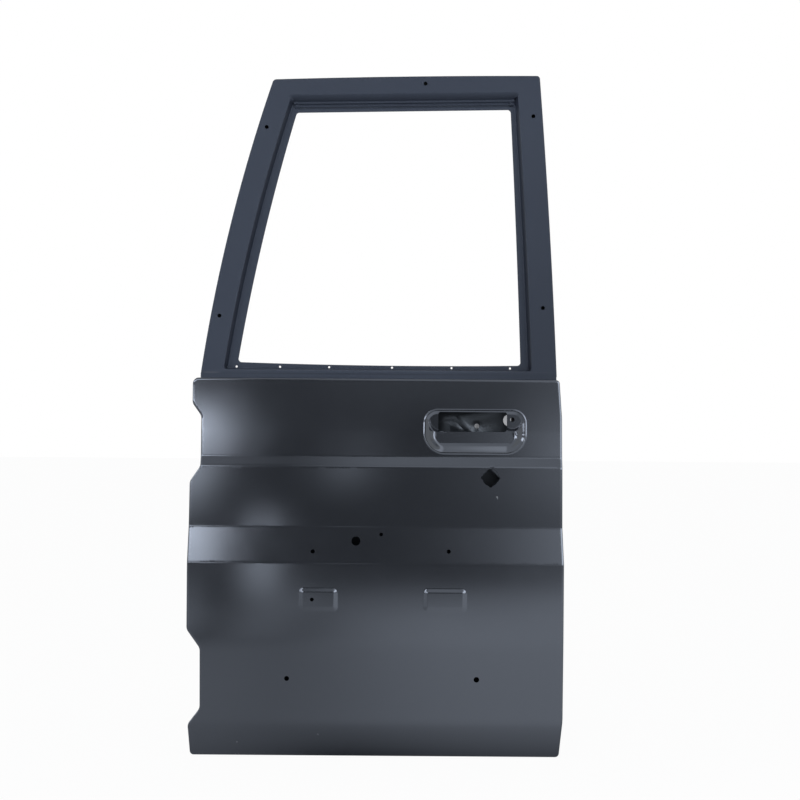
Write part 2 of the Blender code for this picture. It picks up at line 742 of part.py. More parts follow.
def make_outer_skin():
    """The skin, pressed as one blank and hemmed all round."""
    sheet = Sheet()
    outline = with_rows(filleted(skin_corners()), PROFILE_Z)
    hem = 2 * SKIN_GAUGE + PANEL_GAUGE + 2 * HEM_GAP
    bend = hem / 2

    def ring(distance, back):
        points = inset(outline, distance)
        return sheet.ring(points, lambda x, z: profile_depth(z) + edge_roll(distance) + back)

    rings = [ring(HEM_RETURN, hem), ring(bend, hem)]
    for turn in HEM_TURNS:
        angle = radians(turn)
        rings.append(ring(bend * (1 - sin(angle)), bend * (1 + cos(angle))))
    rings.append(ring(bend, 0.0))
    for share in ROLL_SHARES:
        rings.append(ring(share * EDGE_ROLL, 0.0))
    sheet.strip(rings)
    left, foot, right, top = grip_box()
    latch_boss = bosses()[1]
    holes = [inset(filleted(box_corners(left, foot, right, top, GRIP_RADIUS)), 0.0),
             circle(latch_boss[0], latch_boss[1], BOSS_HOLE), lock_hole(),
             circle(*WIRE_HOLE, 12), circle(HINGE_PAD_X + PAD_HOLE_SHIFT, PAD_Z, PAD_HOLE)]
    holes += [circle(*hole) for hole in LAMP_HOLES + PLATE_HOLES]
    sheet.patch(rings[-1], skin_depth, holes=holes, creases=recess_loops() + pad_loops(),
                rows=PROFILE_Z[1:-1])
    skin = sheet.finish("outer_skin", SKIN_GAUGE)
    paint(skin, PAINT_OUTER)


# Window frame

def frame_plane(x, z):
    """Depth of the frame's outer face at a height."""
    return FRAME_FACE_Y + (z - FRAME_BELT_Z) * tan(radians(FRAME_LEAN))


def behind_frame(distance):
    """A depth function a set distance behind the frame's outer face."""
    return lambda x, z: frame_plane(x, z) + distance


def frame_outline():
    """Outside of the window frame, with the narrower foot that stands in the tray."""
    foot_left = PANEL_GAUGE + FIT_GAP
    foot_right = WALL_LATCH - PANEL_GAUGE - FIT_GAP
    latch_foot = (FRAME_LATCH_EDGE, FRAME_BELT_Z)
    hinge_foot = (FRAME_HINGE_EDGE, FRAME_BELT_Z)
    return filleted(
        [(foot_left, FRAME_FOOT, FRAME_CORNER), (foot_right, FRAME_FOOT, FRAME_CORNER),
         (foot_right, FRAME_BELT_Z, FRAME_BEND), (*latch_foot, FRAME_CORNER)]
        + bowed(latch_foot, FRAME_TOP_LATCH, FRAME_LATCH_BOW) + [(*FRAME_TOP_LATCH, FRAME_CORNER)]
        + bowed(FRAME_TOP_LATCH, FRAME_TOP_HINGE, FRAME_TOP_BOW) + [(*FRAME_TOP_HINGE, FRAME_CORNER)]
        + bowed(FRAME_TOP_HINGE, hinge_foot, FRAME_HINGE_BOW)
        + [(*hinge_foot, FRAME_CORNER), (foot_left, FRAME_BELT_Z, FRAME_BEND)])


def rebate_outline():
    """Inner edge of the frame's face, where it steps back to the glass flange."""
    foot_left, foot_right = (REBATE_HINGE_FOOT, REBATE_FOOT_Z), (REBATE_LATCH_FOOT, REBATE_FOOT_Z)
    return ring_of_four(foot_left, foot_right, REBATE_TOP_LATCH, REBATE_TOP_HINGE,
                        (0.0, -REBATE_LATCH_BOW, 0.0, -REBATE_HINGE_BOW), REBATE_RADIUS)


def opening_outline():
    """Edge of the glass flange."""
    return ring_of_four(OPENING_HINGE_FOOT, OPENING_LATCH_FOOT, OPENING_TOP_LATCH, OPENING_TOP_HINGE,
                        (OPENING_FOOT_BOW, OPENING_LATCH_BOW, 0.0, OPENING_HINGE_BOW), OPENING_RADIUS)


def ring_of_four(first, second, third, fourth, bows, radius):
    """A four-sided outline with bowed sides and filleted corners."""
    corners = (first, second, third, fourth)
    outline = []
    for index, corner in enumerate(corners):
        outline.append((*corner, radius))
        outline += bowed(corner, corners[(index + 1) % 4], abs(bows[index]))
    return filleted(outline)


def side_x(stations, z, latch_side):
    """Where a side of an outline stands at a height."""
    crossings = []
    for index, station in enumerate(stations):
        start, end = station[0], stations[(index + 1) % len(stations)][0]
        if (start.y - z) * (end.y - z) < 0:
            crossings.append(start.x + (end.x - start.x) * (z - start.y) / (end.y - start.y))
    return max(crossings) if latch_side else min(crossings)


def frame_holes(outside):
    """Small holes in the frame's face for the outer trim."""
    holes = [(side_x(outside, z, False) + FRAME_HOLE_MARGIN, z) for z in FRAME_HOLES_HINGE_Z]
    holes += [(side_x(outside, z, True) - FRAME_HOLE_MARGIN, z) for z in FRAME_HOLES_LATCH_Z]
    top_z = (FRAME_TOP_HINGE[1] + FRAME_TOP_LATCH[1]) / 2 - FRAME_HOLE_DROP
    holes.append((FRAME_HOLE_TOP_X, top_z))
    return [circle(x, z, FRAME_HOLE, 8) for x, z in holes]


def make_window_frame_outer():
    """Outer half of the frame: face, return round the outside, step and glass flange."""
    sheet = Sheet()
    outside, rebate, opening = frame_outline(), rebate_outline(), opening_outline()
    bend = FRAME_BEND
    outer = [sheet.ring(inset(outside, 0.0), behind_frame(FRAME_RETURN)),
             sheet.ring(inset(outside, 0.0), behind_frame(bend)),
             sheet.ring(inset(outside, BEND_SHARE * bend), behind_frame(BEND_SHARE * bend)),
             sheet.ring(inset(outside, bend), behind_frame(0.0))]
    sheet.strip(outer)
    step = [sheet.ring(inset(rebate, 0.0), behind_frame(0.0)),
            sheet.ring(inset(rebate, BEND_SHARE * bend), behind_frame(BEND_SHARE * bend)),
            sheet.ring(inset(rebate, REBATE_DRAFT), behind_frame(REBATE_DEPTH)),
            sheet.ring(inset(opening, 0.0), behind_frame(REBATE_DEPTH))]
    sheet.strip(step)
    sheet.patch(outer[-1], frame_plane, rims=[step[0]], holes=frame_holes(outside))
    frame = sheet.finish("window_frame_outer", FRAME_GAUGE)
    paint(frame, PAINT_FRAME)
    cut(frame, [flange_punch(index, x) for index, x in enumerate(FLANGE_HOLE_X)])


def flange_punch(index, x):
    """A punch through both glass flanges."""
    mesh = bmesh.new()
    bmesh.ops.create_cone(mesh, cap_ends=True, segments=8, radius1=FLANGE_HOLE / 2,
                          radius2=FLANGE_HOLE / 2, depth=FLANGE_PUNCH_REACH)
    depth = frame_plane(x, FLANGE_HOLE_Z) + REBATE_DEPTH
    for vertex in mesh.verts:
        vertex.co = Vector((x + vertex.co.x, depth + vertex.co.z, FLANGE_HOLE_Z - vertex.co.y))
    return cutter_from(f"flange_punch_{index + 1}", mesh)


def make_window_frame_inner():
    """Inner half of the frame, nested in the outer half's return."""
    sheet = Sheet()
    outside, rebate, opening = frame_outline(), rebate_outline(), opening_outline()
    bend = FRAME_BEND
    nest = FRAME_GAUGE + FIT_GAP
    flange_back = REBATE_DEPTH + 2 * FRAME_GAUGE + FIT_GAP
    outer = [sheet.ring(inset(outside, nest), behind_frame(NEST_DEPTH)),
             sheet.ring(inset(outside, nest), behind_frame(FRAME_DEPTH - bend)),
             sheet.ring(inset(outside, nest + BEND_SHARE * bend),
                        behind_frame(FRAME_DEPTH - BEND_SHARE * bend)),
             sheet.ring(inset(outside, nest + bend), behind_frame(FRAME_DEPTH))]
    sheet.strip(outer)
    step = [sheet.ring(inset(rebate, 0.0), behind_frame(FRAME_DEPTH)),
            sheet.ring(inset(rebate, BEND_SHARE * bend),
                       behind_frame(FRAME_DEPTH - BEND_SHARE * bend)),
            sheet.ring(inset(rebate, REBATE_DRAFT), behind_frame(flange_back)),
            sheet.ring(inset(opening, -FLANGE_SETBACK), behind_frame(flange_back))]
    sheet.strip(step)
    sheet.patch(outer[-1], behind_frame(FRAME_DEPTH), rims=[step[0]])
    frame = sheet.finish("window_frame_inner", FRAME_GAUGE, inward=True)
    paint(frame, PAINT_INNER)
    cut(frame, [guide for guide in cutters.objects if guide.name.startswith("flange_punch")])


# Inner panel

def tray_point(x, z, distance):
    """The tray's wall beside a point of the flange, moved inwards by a distance."""
    centre = Vector((min(max(x, WALL_CORNER), WALL_LATCH - WALL_CORNER),
                     max(z, WALL_FOOT + WALL_CORNER)))
    spoke = (Vector((x, z)) - centre).normalized()
    return tuple(centre + spoke * (WALL_CORNER - distance))


def tray_rear():
    """Depth of the tray's back, just behind the foot of the window frame."""
    return frame_plane(0.0, TRAY_TOP) + FRAME_DEPTH + FIT_GAP + PANEL_GAUGE


def flange_stations():
    """The skin's outline from the tray's top down the hinge side and up the latch side."""
    corner_rows = [TRAY_TOP, WALL_FOOT, WALL_FOOT + WALL_CORNER]
    corner_columns = [0.0, WALL_CORNER, WALL_LATCH - WALL_CORNER, WALL_LATCH]
    outline = with_rows(filleted(skin_corners()), PROFILE_Z + corner_rows)
    outline = with_rows(outline, corner_columns, axis=0)
    low = [station[0].y <= TRAY_TOP + 1e-6 for station in outline]
    latch_top = low.index(False)
    hinge_top = latch_top + low[latch_top:].index(True)
    return outline[hinge_top:] + outline[:latch_top]


def land_depth(x, z):
    """Depth of the tray's back with the sunk lands round the service holes, dish and ribs."""
    depth = tray_rear()
    for left, foot, right, top in (SERVICE_UPPER, SERVICE_LOWER):
        inside = inside_distance(x, z, (left + right) / 2, (foot + top) / 2,
                                 right - left + 2 * LAND_BORDER, top - foot + 2 * LAND_BORDER,
                                 SERVICE_RADIUS + LAND_BORDER)
        depth -= LAND_DEPTH * ease(inside / LAND_RAMP)
    flat = DISH_HOLE[2] / 2 + DISH_FLAT
    reach = hypot(x - DISH_HOLE[0], z - DISH_HOLE[1])
    depth += DISH_DEPTH * (1 - ease((reach - flat) / (DISH_RING / 2 - flat)))
    for start, end in RIB_LINES:
        depth -= RIB_HEIGHT * (1 - ease(line_distance(x, z, start, end) / RIB_WIDTH))
    return depth


def line_distance(x, z, start, end):
    """Distance from a point to a straight run between two points."""
    point, start, end = Vector((x, z)), Vector(start), Vector(end)
    share = (point - start).dot(end - start) / (end - start).length_squared
    return (point - start.lerp(end, min(max(share, 0), 1))).length


def capsule(start, end, radius, steps=3):
    """Outline of a run with round ends."""
    start, end = Vector(start), Vector(end)
    heading = atan2(end.y - start.y, end.x - start.x)
    points = []
    for centre, base in ((end, heading - pi / 2), (start, heading + pi / 2)):
        for step in range(steps + 1):
            turn = base + pi * step / steps
            points.append((centre.x + radius * cos(turn), centre.y + radius * sin(turn)))
    return points


def clip_holes():
    """Holes for the trim's clips, up both sides of the tray's back and along its foot."""
    holes = []
    low, high = WALL_FOOT + CLIP_MARGIN, TRAY_TOP - CLIP_MARGIN
    for index in range(CLIP_COUNT):
        z = low + (high - low) * index / (CLIP_COUNT - 1)
        holes += [(CLIP_MARGIN, z), (WALL_LATCH - CLIP_MARGIN, z)]
    for index in range(1, CLIP_COUNT - 1):
        holes.append((CLIP_MARGIN + (WALL_LATCH - 2 * CLIP_MARGIN) * index / (CLIP_COUNT - 1), low))
    return [circle(x, z, CLIP_HOLE, 8) for x, z in holes]


def make_inner_panel():
    """The tray: hem flange, walls with the hinge and latch seats, and the pierced back."""
    sheet = Sheet()
    stations = flange_stations()
    edge = inset(stations, HEM_INNER_EDGE)
    rear = tray_rear()
    bend = TRAY_BEND
    back_of_flange = SKIN_GAUGE + HEM_GAP + PANEL_GAUGE

    def flange(distance, back=0.0):
        return lambda x, z: profile_depth(z) + edge_roll(distance) + back_of_flange + back

    def wall(distance, depth):
        return sheet.ring([tray_point(x, z, distance) for x, z in edge], depth)

    rings = [sheet.ring(inset(stations, distance), flange(distance))
             for distance in [HEM_INNER_EDGE] + [share * EDGE_ROLL for share in ROLL_SHARES[:2]]]
    rings += [wall(-WALL_FLARE, flange(EDGE_ROLL)), wall(0.0, flange(EDGE_ROLL, WALL_FLARE)),
              wall(0.0, rear - bend), wall(BEND_SHARE * bend, rear - BEND_SHARE * bend),
              wall(bend, rear)]
    sheet.strip(rings, closed=False)
    service = [filleted(box_corners(*corners, SERVICE_RADIUS))
               for corners in (SERVICE_UPPER, SERVICE_LOWER)]
    creases = []
    for hole in service:
        creases += [inset(hole, -LAND_BORDER), inset(hole, -LAND_BORDER + LAND_RAMP)]
    creases += [circle(DISH_HOLE[0], DISH_HOLE[1], size, 14) for size in (DISH_RING, 0.6 * DISH_RING)]
    for start, end in RIB_LINES:
        creases += [capsule(start, end, RIB_WIDTH), [Vector(start), Vector(end)]]
    holes = [inset(hole, 0.0) for hole in service] + clip_holes()
    holes += [circle(*SIGHT_HOLE, 14), circle(*DISH_HOLE)]
    sheet.patch(rings[-1], land_depth, holes=holes, creases=creases)
    panel = sheet.finish("inner_panel", PANEL_GAUGE, inward=True)
    paint(panel, PAINT_INNER)
    cut(panel, wall_cutters())


def wall_cutters():
    """Bolt holes, check slot, latch mouth and drains in the tray's walls."""
    punches = [wall_punch(f"{side}_hinge_bolt_{hand}", HINGE_SEAT_Y, z + shift, HINGE_BOLT_HOLE, 0.0)
               for side, z in (("upper", UPPER_HINGE_Z), ("lower", LOWER_HINGE_Z))
               for hand, shift in (("top", HINGE_BOLT_PITCH / 2), ("foot", -HINGE_BOLT_PITCH / 2))]
    punches += [wall_punch(f"check_bolt_{hand}", HINGE_SEAT_Y, CHECK_Z + shift, CHECK_BOLT_HOLE, 0.0)
                for hand, shift in (("top", CHECK_BOLT_PITCH / 2), ("foot", -CHECK_BOLT_PITCH / 2))]
    half_width, half_height = CHECK_SLOT_WIDTH / 2, CHECK_SLOT_HEIGHT / 2
    punches.append(box_punch("check_slot",
                             (-PUNCH_REACH, HINGE_SEAT_Y - half_width, CHECK_Z - half_height),
                             (PUNCH_REACH, HINGE_SEAT_Y + half_width, CHECK_Z + half_height)))
    for index, degrees in enumerate(LATCH_BOLT_ANGLES):
        y = LATCH_Y + LATCH_BOLT_REACH * cos(radians(degrees))
        z = LATCH_Z + LATCH_BOLT_RING * sin(radians(degrees))
        punches.append(wall_punch(f"latch_bolt_{index + 1}", y, z, LATCH_BOLT_HOLE, WALL_LATCH))
    half_width, half_height = LATCH_MOUTH_WIDTH / 2, LATCH_MOUTH_HEIGHT / 2
    punches.append(box_punch("latch_mouth",
                             (WALL_LATCH - PUNCH_REACH, LATCH_Y - half_width, LATCH_Z - half_height),
                             (WALL_LATCH + PUNCH_REACH, LATCH_Y + half_width, LATCH_Z + half_height)))
    half_width, half_height = DRAIN_WIDTH / 2, DRAIN_HEIGHT / 2
    for index, share in enumerate(DRAIN_SHARES):
        x = WALL_LATCH * share
        punches.append(box_punch(f"drain_{index + 1}",
                                 (x - half_width, LATCH_Y - half_height, WALL_FOOT - PUNCH_REACH),
                                 (x + half_width, LATCH_Y + half_height, WALL_FOOT + PUNCH_REACH)))
    return punches


# Pieces inside the tray

def wall_plate(name, z, height, width, fold, gauge, latch_side=False):
    """An angled reinforcement that lines a side wall and folds onto the tray's back."""
    standoff = PANEL_GAUGE + FIT_GAP
    rear = tray_rear() - standoff
    radius = TRAY_BEND + FIT_GAP
    seat_y = LATCH_Y if latch_side else HINGE_SEAT_Y
    if latch_side:
        wall = WALL_LATCH - standoff
        section = [(wall, seat_y - width / 2), (wall, rear, radius), (wall - fold, rear)]
    else:
        section = [(standoff + fold, rear), (standoff, rear, radius), (standoff, seat_y - width / 2)]
    plate = folded(name, section, z - height / 2, z + height / 2, gauge,
                   lambda u, v, along: (u, v, along), 3)
    paint(plate, PAINT_HEAVY)
    return plate


def block(name, low, high, bevel, finish):
    """A solid block between two corners, with broken edges."""
    mesh = bmesh.new()
    bmesh.ops.create_cube(mesh, size=1)
    middle, size = (Vector(low) + Vector(high)) / 2, Vector(high) - Vector(low)
    for vertex in mesh.verts:
        vertex.co = middle + vertex.co * size
    data = bpy.data.meshes.new(name)
    mesh.to_mesh(data)
    mesh.free()
    piece = add_part(name, data)
    edges = piece.modifiers.new("broken_edges", 'BEVEL')
    edges.width = bevel
    edges.segments = 1
    paint(piece, finish)
    return piece


def make_hinge_side(side, z):
    """Reinforcement, tapped nut plate and its cage behind one hinge seat."""
    bolts = [guide for guide in cutters.objects if guide.name.startswith(f"{side}_hinge_bolt")]
    plate = wall_plate(f"hinge_reinforcement_{side}", z, HINGE_PLATE_HEIGHT, HINGE_PLATE_WIDTH,
                       HINGE_PLATE_FOLD, HINGE_GAUGE)
    cut(plate, bolts)
    base = PANEL_GAUGE + HINGE_GAUGE + 2 * FIT_GAP
    top = base + NUT_PLATE_THICK
    half_width, half_height = NUT_PLATE_WIDTH / 2, NUT_PLATE_HEIGHT / 2
    nut_plate = block(f"hinge_nut_plate_{side}", (base, HINGE_SEAT_Y - half_width, z - half_height),
                      (top, HINGE_SEAT_Y + half_width, z + half_height), NUT_PLATE_BEVEL, PAINT_HEAVY)
    threads = [wall_punch(f"{side}_thread_{hand}", HINGE_SEAT_Y, z + shift, NUT_PLATE_THREAD, base,
                          4 * NUT_PLATE_THICK)
               for hand, shift in (("top", HINGE_BOLT_PITCH / 2), ("foot", -HINGE_BOLT_PITCH / 2))]
    cut(nut_plate, threads)
    reach = half_width + CAGE_PLAY
    crown = top + CAGE_PLAY
    bend = CAGE_GAUGE
    section = [(base, HINGE_SEAT_Y + reach + CAGE_FOOT), (base, HINGE_SEAT_Y + reach, bend),
               (crown, HINGE_SEAT_Y + reach, bend), (crown, HINGE_SEAT_Y - reach, bend),
               (base, HINGE_SEAT_Y - reach, bend), (base, HINGE_SEAT_Y - reach - CAGE_FOOT)]
    cage = folded(f"nut_plate_cage_{side}", section, z - CAGE_HEIGHT / 2, z + CAGE_HEIGHT / 2,
                  CAGE_GAUGE, lambda u, v, along: (u, v, along))
    paint(cage, PAINT_HEAVY)


def make_check_link():
    """Slotted bracket for the check link, with two weld nuts."""
    bracket = wall_plate("check_link_bracket", CHECK_Z, CHECK_PLATE_HEIGHT, CHECK_PLATE_WIDTH,
                         HINGE_PLATE_FOLD, BRACKET_GAUGE)
    cut(bracket, [guide for guide in cutters.objects if guide.name.startswith("check_")])
    base = PANEL_GAUGE + BRACKET_GAUGE + 2 * FIT_GAP
    for hand, shift in (("top", CHECK_BOLT_PITCH / 2), ("foot", -CHECK_BOLT_PITCH / 2)):
        mesh = bmesh.new()
        corner_reach = WELD_NUT_ACROSS / 2 / cos(pi / 6)
        bmesh.ops.create_cone(mesh, cap_ends=True, segments=6, radius1=corner_reach,
                              radius2=corner_reach, depth=WELD_NUT_THICK)
        for vertex in mesh.verts:
            vertex.co = Vector((base + WELD_NUT_THICK / 2 + vertex.co.z, HINGE_SEAT_Y + vertex.co.y,
                                CHECK_Z + shift - vertex.co.x))
        data = bpy.data.meshes.new(f"check_link_nut_{hand}")
        mesh.to_mesh(data)
        mesh.free()
        nut = add_part(f"check_link_nut_{hand}", data)
        paint(nut, PAINT_HEAVY)
        cut(nut, [wall_punch(f"check_thread_{hand}", HINGE_SEAT_Y, CHECK_Z + shift, WELD_NUT_THREAD,
                             base, 4 * WELD_NUT_THICK)])


def make_latch_reinforcement():
    """Angled plate behind the latch seat."""
    plate = wall_plate("latch_reinforcement", LATCH_Z, LATCH_PLATE_HEIGHT, LATCH_PLATE_WIDTH,
                       LATCH_PLATE_FOLD, BRACKET_GAUGE, latch_side=True)
    cut(plate, [guide for guide in cutters.objects if guide.name.startswith("latch_")])


def make_belt_rail():
    """Rail behind the skin's top edge: its leg stands on the skin, its lip laps the frame's foot."""
    def frame_side(z):
        return frame_plane(0.0, z) - FIT_GAP

    def skin_side(z):
        return profile_depth(z) + SKIN_GAUGE + FIT_GAP + FRAME_GAUGE

    lip = SKIN_TOP + BELT_RAIL_RISE
    knee = TRAY_TOP + BELT_RAIL_KNEE
    heel = knee - BELT_RAIL_STEP
    foot = heel - BELT_RAIL_LEG
    section = [(skin_side(foot), foot), (skin_side(heel), heel, BELT_RAIL_BEND),
               (frame_side(knee), knee, BELT_RAIL_BEND), (frame_side(lip), lip)]
    rail = folded("belt_rail", section, FRAME_HINGE_EDGE + BELT_RAIL_INSET,
                  FRAME_LATCH_EDGE - BELT_RAIL_INSET, FRAME_GAUGE, lambda u, v, along: (along, u, v))
    paint(rail, PAINT_FRAME)
    clear = PANEL_GAUGE + 2 * FIT_GAP
    step = TRAY_TOP + BELT_RAIL_CLEAR
    below = foot - PUNCH_REACH
    deep = 2 * FRAME_DEPTH
    cut(rail, [box_punch("rail_notch_hinge", (FRAME_HINGE_EDGE - PUNCH_REACH, 0.0, below),
                         (clear, deep, step)),
               box_punch("rail_notch_latch", (WALL_LATCH - clear, 0.0, below),
                         (FRAME_LATCH_EDGE + PUNCH_REACH, deep, step))])


def behind_skin(distance):
    """A depth function a set distance behind the skin's back."""
    return lambda x, z: profile_depth(z) + SKIN_GAUGE + distance


def make_lock_plate():
    """Plate behind the skin that stiffens the lock hole."""
    half = LOCK_PLATE_SIZE / 2
    outline = filleted(box_corners(LOCK_X - half, LOCK_Z - half, LOCK_X + half, LOCK_Z + half,
                                   LOCK_PLATE_RADIUS))
    sheet = Sheet()
    border = sheet.ring(inset(with_rows(outline, PROFILE_Z), 0.0), behind_skin(FIT_GAP))
    sheet.patch(border, behind_skin(FIT_GAP), holes=[lock_hole(LOCK_PLATE_CLEARANCE)],
                rows=PROFILE_Z)
    paint(sheet.finish("lock_plate", BRACKET_GAUGE), PAINT_HEAVY)


def make_skin_brace(side, z):
    """Hat-section brace across the skin, with the mastic pads that bond it."""
    half_crown, half_web = BRACE_CROWN / 2, BRACE_CROWN / 2 + BRACE_TAPER
    edge = half_web + BRACE_FLANGE
    skin_back = max(profile_depth(z + shift) for shift in (-edge, edge)) + SKIN_GAUGE
    seat = skin_back + MASTIC_THICK + 2 * FIT_GAP
    crown = seat + BRACE_DEPTH
    section = [(seat, z + edge), (seat, z + half_web, BRACE_BEND),
               (crown, z + half_crown, BRACE_BEND), (crown, z - half_crown, BRACE_BEND),
               (seat, z - half_web, BRACE_BEND), (seat, z - edge)]
    start, end = PANEL_GAUGE + FIT_GAP, WALL_LATCH - PANEL_GAUGE - FIT_GAP
    brace = folded(f"skin_brace_{side}", section, start, end, BRACE_GAUGE,
                   lambda u, v, along: (along, u, v))
    paint(brace, PAINT_HEAVY)
    for index in range(2 * MASTIC_COUNT):
        lane, place = index % 2, index // 2
        x = start + (end - start) * (place + 0.5) / MASTIC_COUNT
        middle = z + (half_web + BRACE_FLANGE / 2) * (1 if lane else -1)
        low = (x - MASTIC_LENGTH / 2, skin_back + FIT_GAP, middle - MASTIC_WIDTH / 2)
        high = (x + MASTIC_LENGTH / 2, skin_back + FIT_GAP + MASTIC_THICK, middle + MASTIC_WIDTH / 2)
        block(f"mastic_{side}_{index + 1}", low, high, MASTIC_BEVEL, MASTIC)


# The door, piece by piece

def empty_scene():
    """Removes whatever the scene holds."""
    for item in list(bpy.data.objects):
        bpy.data.objects.remove(item)


empty_scene()
parts = bpy.data.collections.new("car_door_shell")
cutters = bpy.data.collections.new("punches")
bpy.context.scene.collection.children.link(parts)
bpy.context.scene.collection.children.link(cutters)
door_lines = bpy.data.objects.new("door_lines", None)
door_lines.location = (0.0, -HINGE_SEAT_Y, -UPPER_HINGE_Z)
parts.objects.link(door_lines)
PROFILE_Z, PROFILE_DEPTH = skin_profile()

make_outer_skin()
make_window_frame_outer()
make_window_frame_inner()
make_inner_panel()
make_hinge_side("upper", UPPER_HINGE_Z)
make_hinge_side("lower", LOWER_HINGE_Z)
make_check_link()
make_latch_reinforcement()
make_belt_rail()
make_lock_plate()
make_skin_brace("upper", BRACE_UPPER_Z)
make_skin_brace("lower", BRACE_LOWER_Z)
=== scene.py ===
from math import atan, atan2, ceil, cos, inf, pi, radians, sin, tan

import bpy
import numpy as np
from mathutils.geometry import delaunay_2d_cdt
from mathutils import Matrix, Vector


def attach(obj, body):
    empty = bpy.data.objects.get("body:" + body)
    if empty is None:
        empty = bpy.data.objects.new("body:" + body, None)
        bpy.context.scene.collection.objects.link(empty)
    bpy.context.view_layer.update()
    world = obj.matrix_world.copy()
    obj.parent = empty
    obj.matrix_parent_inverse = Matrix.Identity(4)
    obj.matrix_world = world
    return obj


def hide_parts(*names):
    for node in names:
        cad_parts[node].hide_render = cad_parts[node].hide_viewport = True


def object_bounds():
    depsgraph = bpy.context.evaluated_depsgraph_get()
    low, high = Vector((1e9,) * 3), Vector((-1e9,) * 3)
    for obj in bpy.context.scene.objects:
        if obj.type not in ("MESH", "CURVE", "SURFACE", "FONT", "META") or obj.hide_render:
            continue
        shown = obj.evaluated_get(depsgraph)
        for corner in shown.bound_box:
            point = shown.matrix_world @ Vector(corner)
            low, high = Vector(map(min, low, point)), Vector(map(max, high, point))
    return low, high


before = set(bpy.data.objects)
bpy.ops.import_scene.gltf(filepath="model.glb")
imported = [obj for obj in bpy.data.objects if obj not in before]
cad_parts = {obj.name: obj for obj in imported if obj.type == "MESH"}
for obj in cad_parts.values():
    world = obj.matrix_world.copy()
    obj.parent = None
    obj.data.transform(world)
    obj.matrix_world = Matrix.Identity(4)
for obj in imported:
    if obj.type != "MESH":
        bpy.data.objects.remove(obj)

SOLID_LOW, SOLID_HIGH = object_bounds()

# Soft-edged windows of light that the reflections see, each as its edges and softness across, its
# edges and softness upwards, and its level. The far ones are in degrees, the others in metres.
FAR_WINDOWS = (
    (-75, -7.95, 0.36, 4.1, 6.45, 0.28, 8.6), (-75, -7.2, 0.90, 5.5, 9.5, 0.60, 0.25),
    (-75, -8.60, 0.36, 16.0, 25.0, 1.60, 8.6), (6.0, 60, 0.90, 1.0, 6.4, 0.60, 1.6),
    (6.5, 60, 1.80, 10.0, 27.0, 2.00, 1.9), (-90, 90, 1.0, 30.0, 90.0, 1.5, 0.92),
    (-8.6, -4.0, 0.80, 28.0, 42.0, 3.0, -0.95), (20, 90, 1.5, -9.0, 90.0, 1.0, 0.9),
    (-2.6, -1.0, 0.4, 2.0, 5.2, 0.5, 0.7), (-5.4, 60, 1.2, 23.5, 29.5, 0.9, 1.0),
    (25, 70, 2.0, 0.0, 30.0, 2.0, 3.0), (-4.0, 3.5, 1.0, 7.0, 9.5, 0.3, 0.25))
NEAR_WINDOWS = (
    (-5.0, -0.20, 0.025, -0.13, 0.5, 0.030, 2.2), (-0.125, -0.020, 0.015, -0.49, -0.215, 0.018, 2.0),
    (0.75, 5.0, 0.12, -1.0, 0.5, 0.05, 0.6), (0.75, 5.0, 0.12, -0.17, 0.5, 0.03, 0.6),
    (0.10, 5.0, 0.12, -1.0, -0.495, 0.015, 0.9), (0.12, 0.24, 0.03, -0.12, 0.5, 0.02, 1.0),
    (-5.0, -0.25, 0.02, -1.0, -0.47, 0.02, 0.7), (-0.14, 0.09, 0.02, -1.0, -0.49, 0.02, 0.45),
    (-5.0, -0.16, 0.04, -0.46, -0.33, 0.02, 0.22), (-5.0, -0.245, 0.02, -0.235, 0.5, 0.03, 0.7),
    (-5.0, -0.260, 0.015, -0.17, 0.5, 0.03, 1.0))
FLOOR_WINDOWS = (
    (0.24, 5.0, 0.10, -3.0, -0.8, 0.2, 0.88), (0.28, 5.0, 0.11, -0.8, 1.0, 0.2, 0.72),
    (-5.0, 0.03, 0.06, -0.9, 1.0, 0.15, 0.30), (-0.12, 0.02, 0.02, -3.0, -1.5, 0.10, 0.25),
    (-5.0, -0.24, 0.02, -3.0, -1.4, 0.15, 0.6), (-0.22, -0.13, 0.02, -3.0, -1.3, 0.2, -0.25),
    (0.03, 0.14, 0.03, -3.0, -1.4, 0.2, -0.15), (-5.0, 5.0, 0.1, -0.12, 1.0, 0.02, -0.15),
    (0.16, 5.0, 0.05, -0.12, 1.0, 0.02, -0.40), (-5.0, 5.0, 0.1, -0.055, 1.0, 0.01, -0.12),
    (0.16, 5.0, 0.05, -0.055, 1.0, 0.01, -0.18))

# Door lines: x from the hinge wall, y from the outer plane of the lower panel into the vehicle,
# z up from the bottom hem, all in metres. A finished mesh is moved by this to the part's frame.
DOOR_ORIGIN = np.array([0.0, 0.052, 0.5565])

# Gauges of the sheets
SKIN_GAUGE = 0.0008
PANEL_GAUGE = 0.0008
FRAME_GAUGE = 0.0010
FIT_GAP = 0.0003

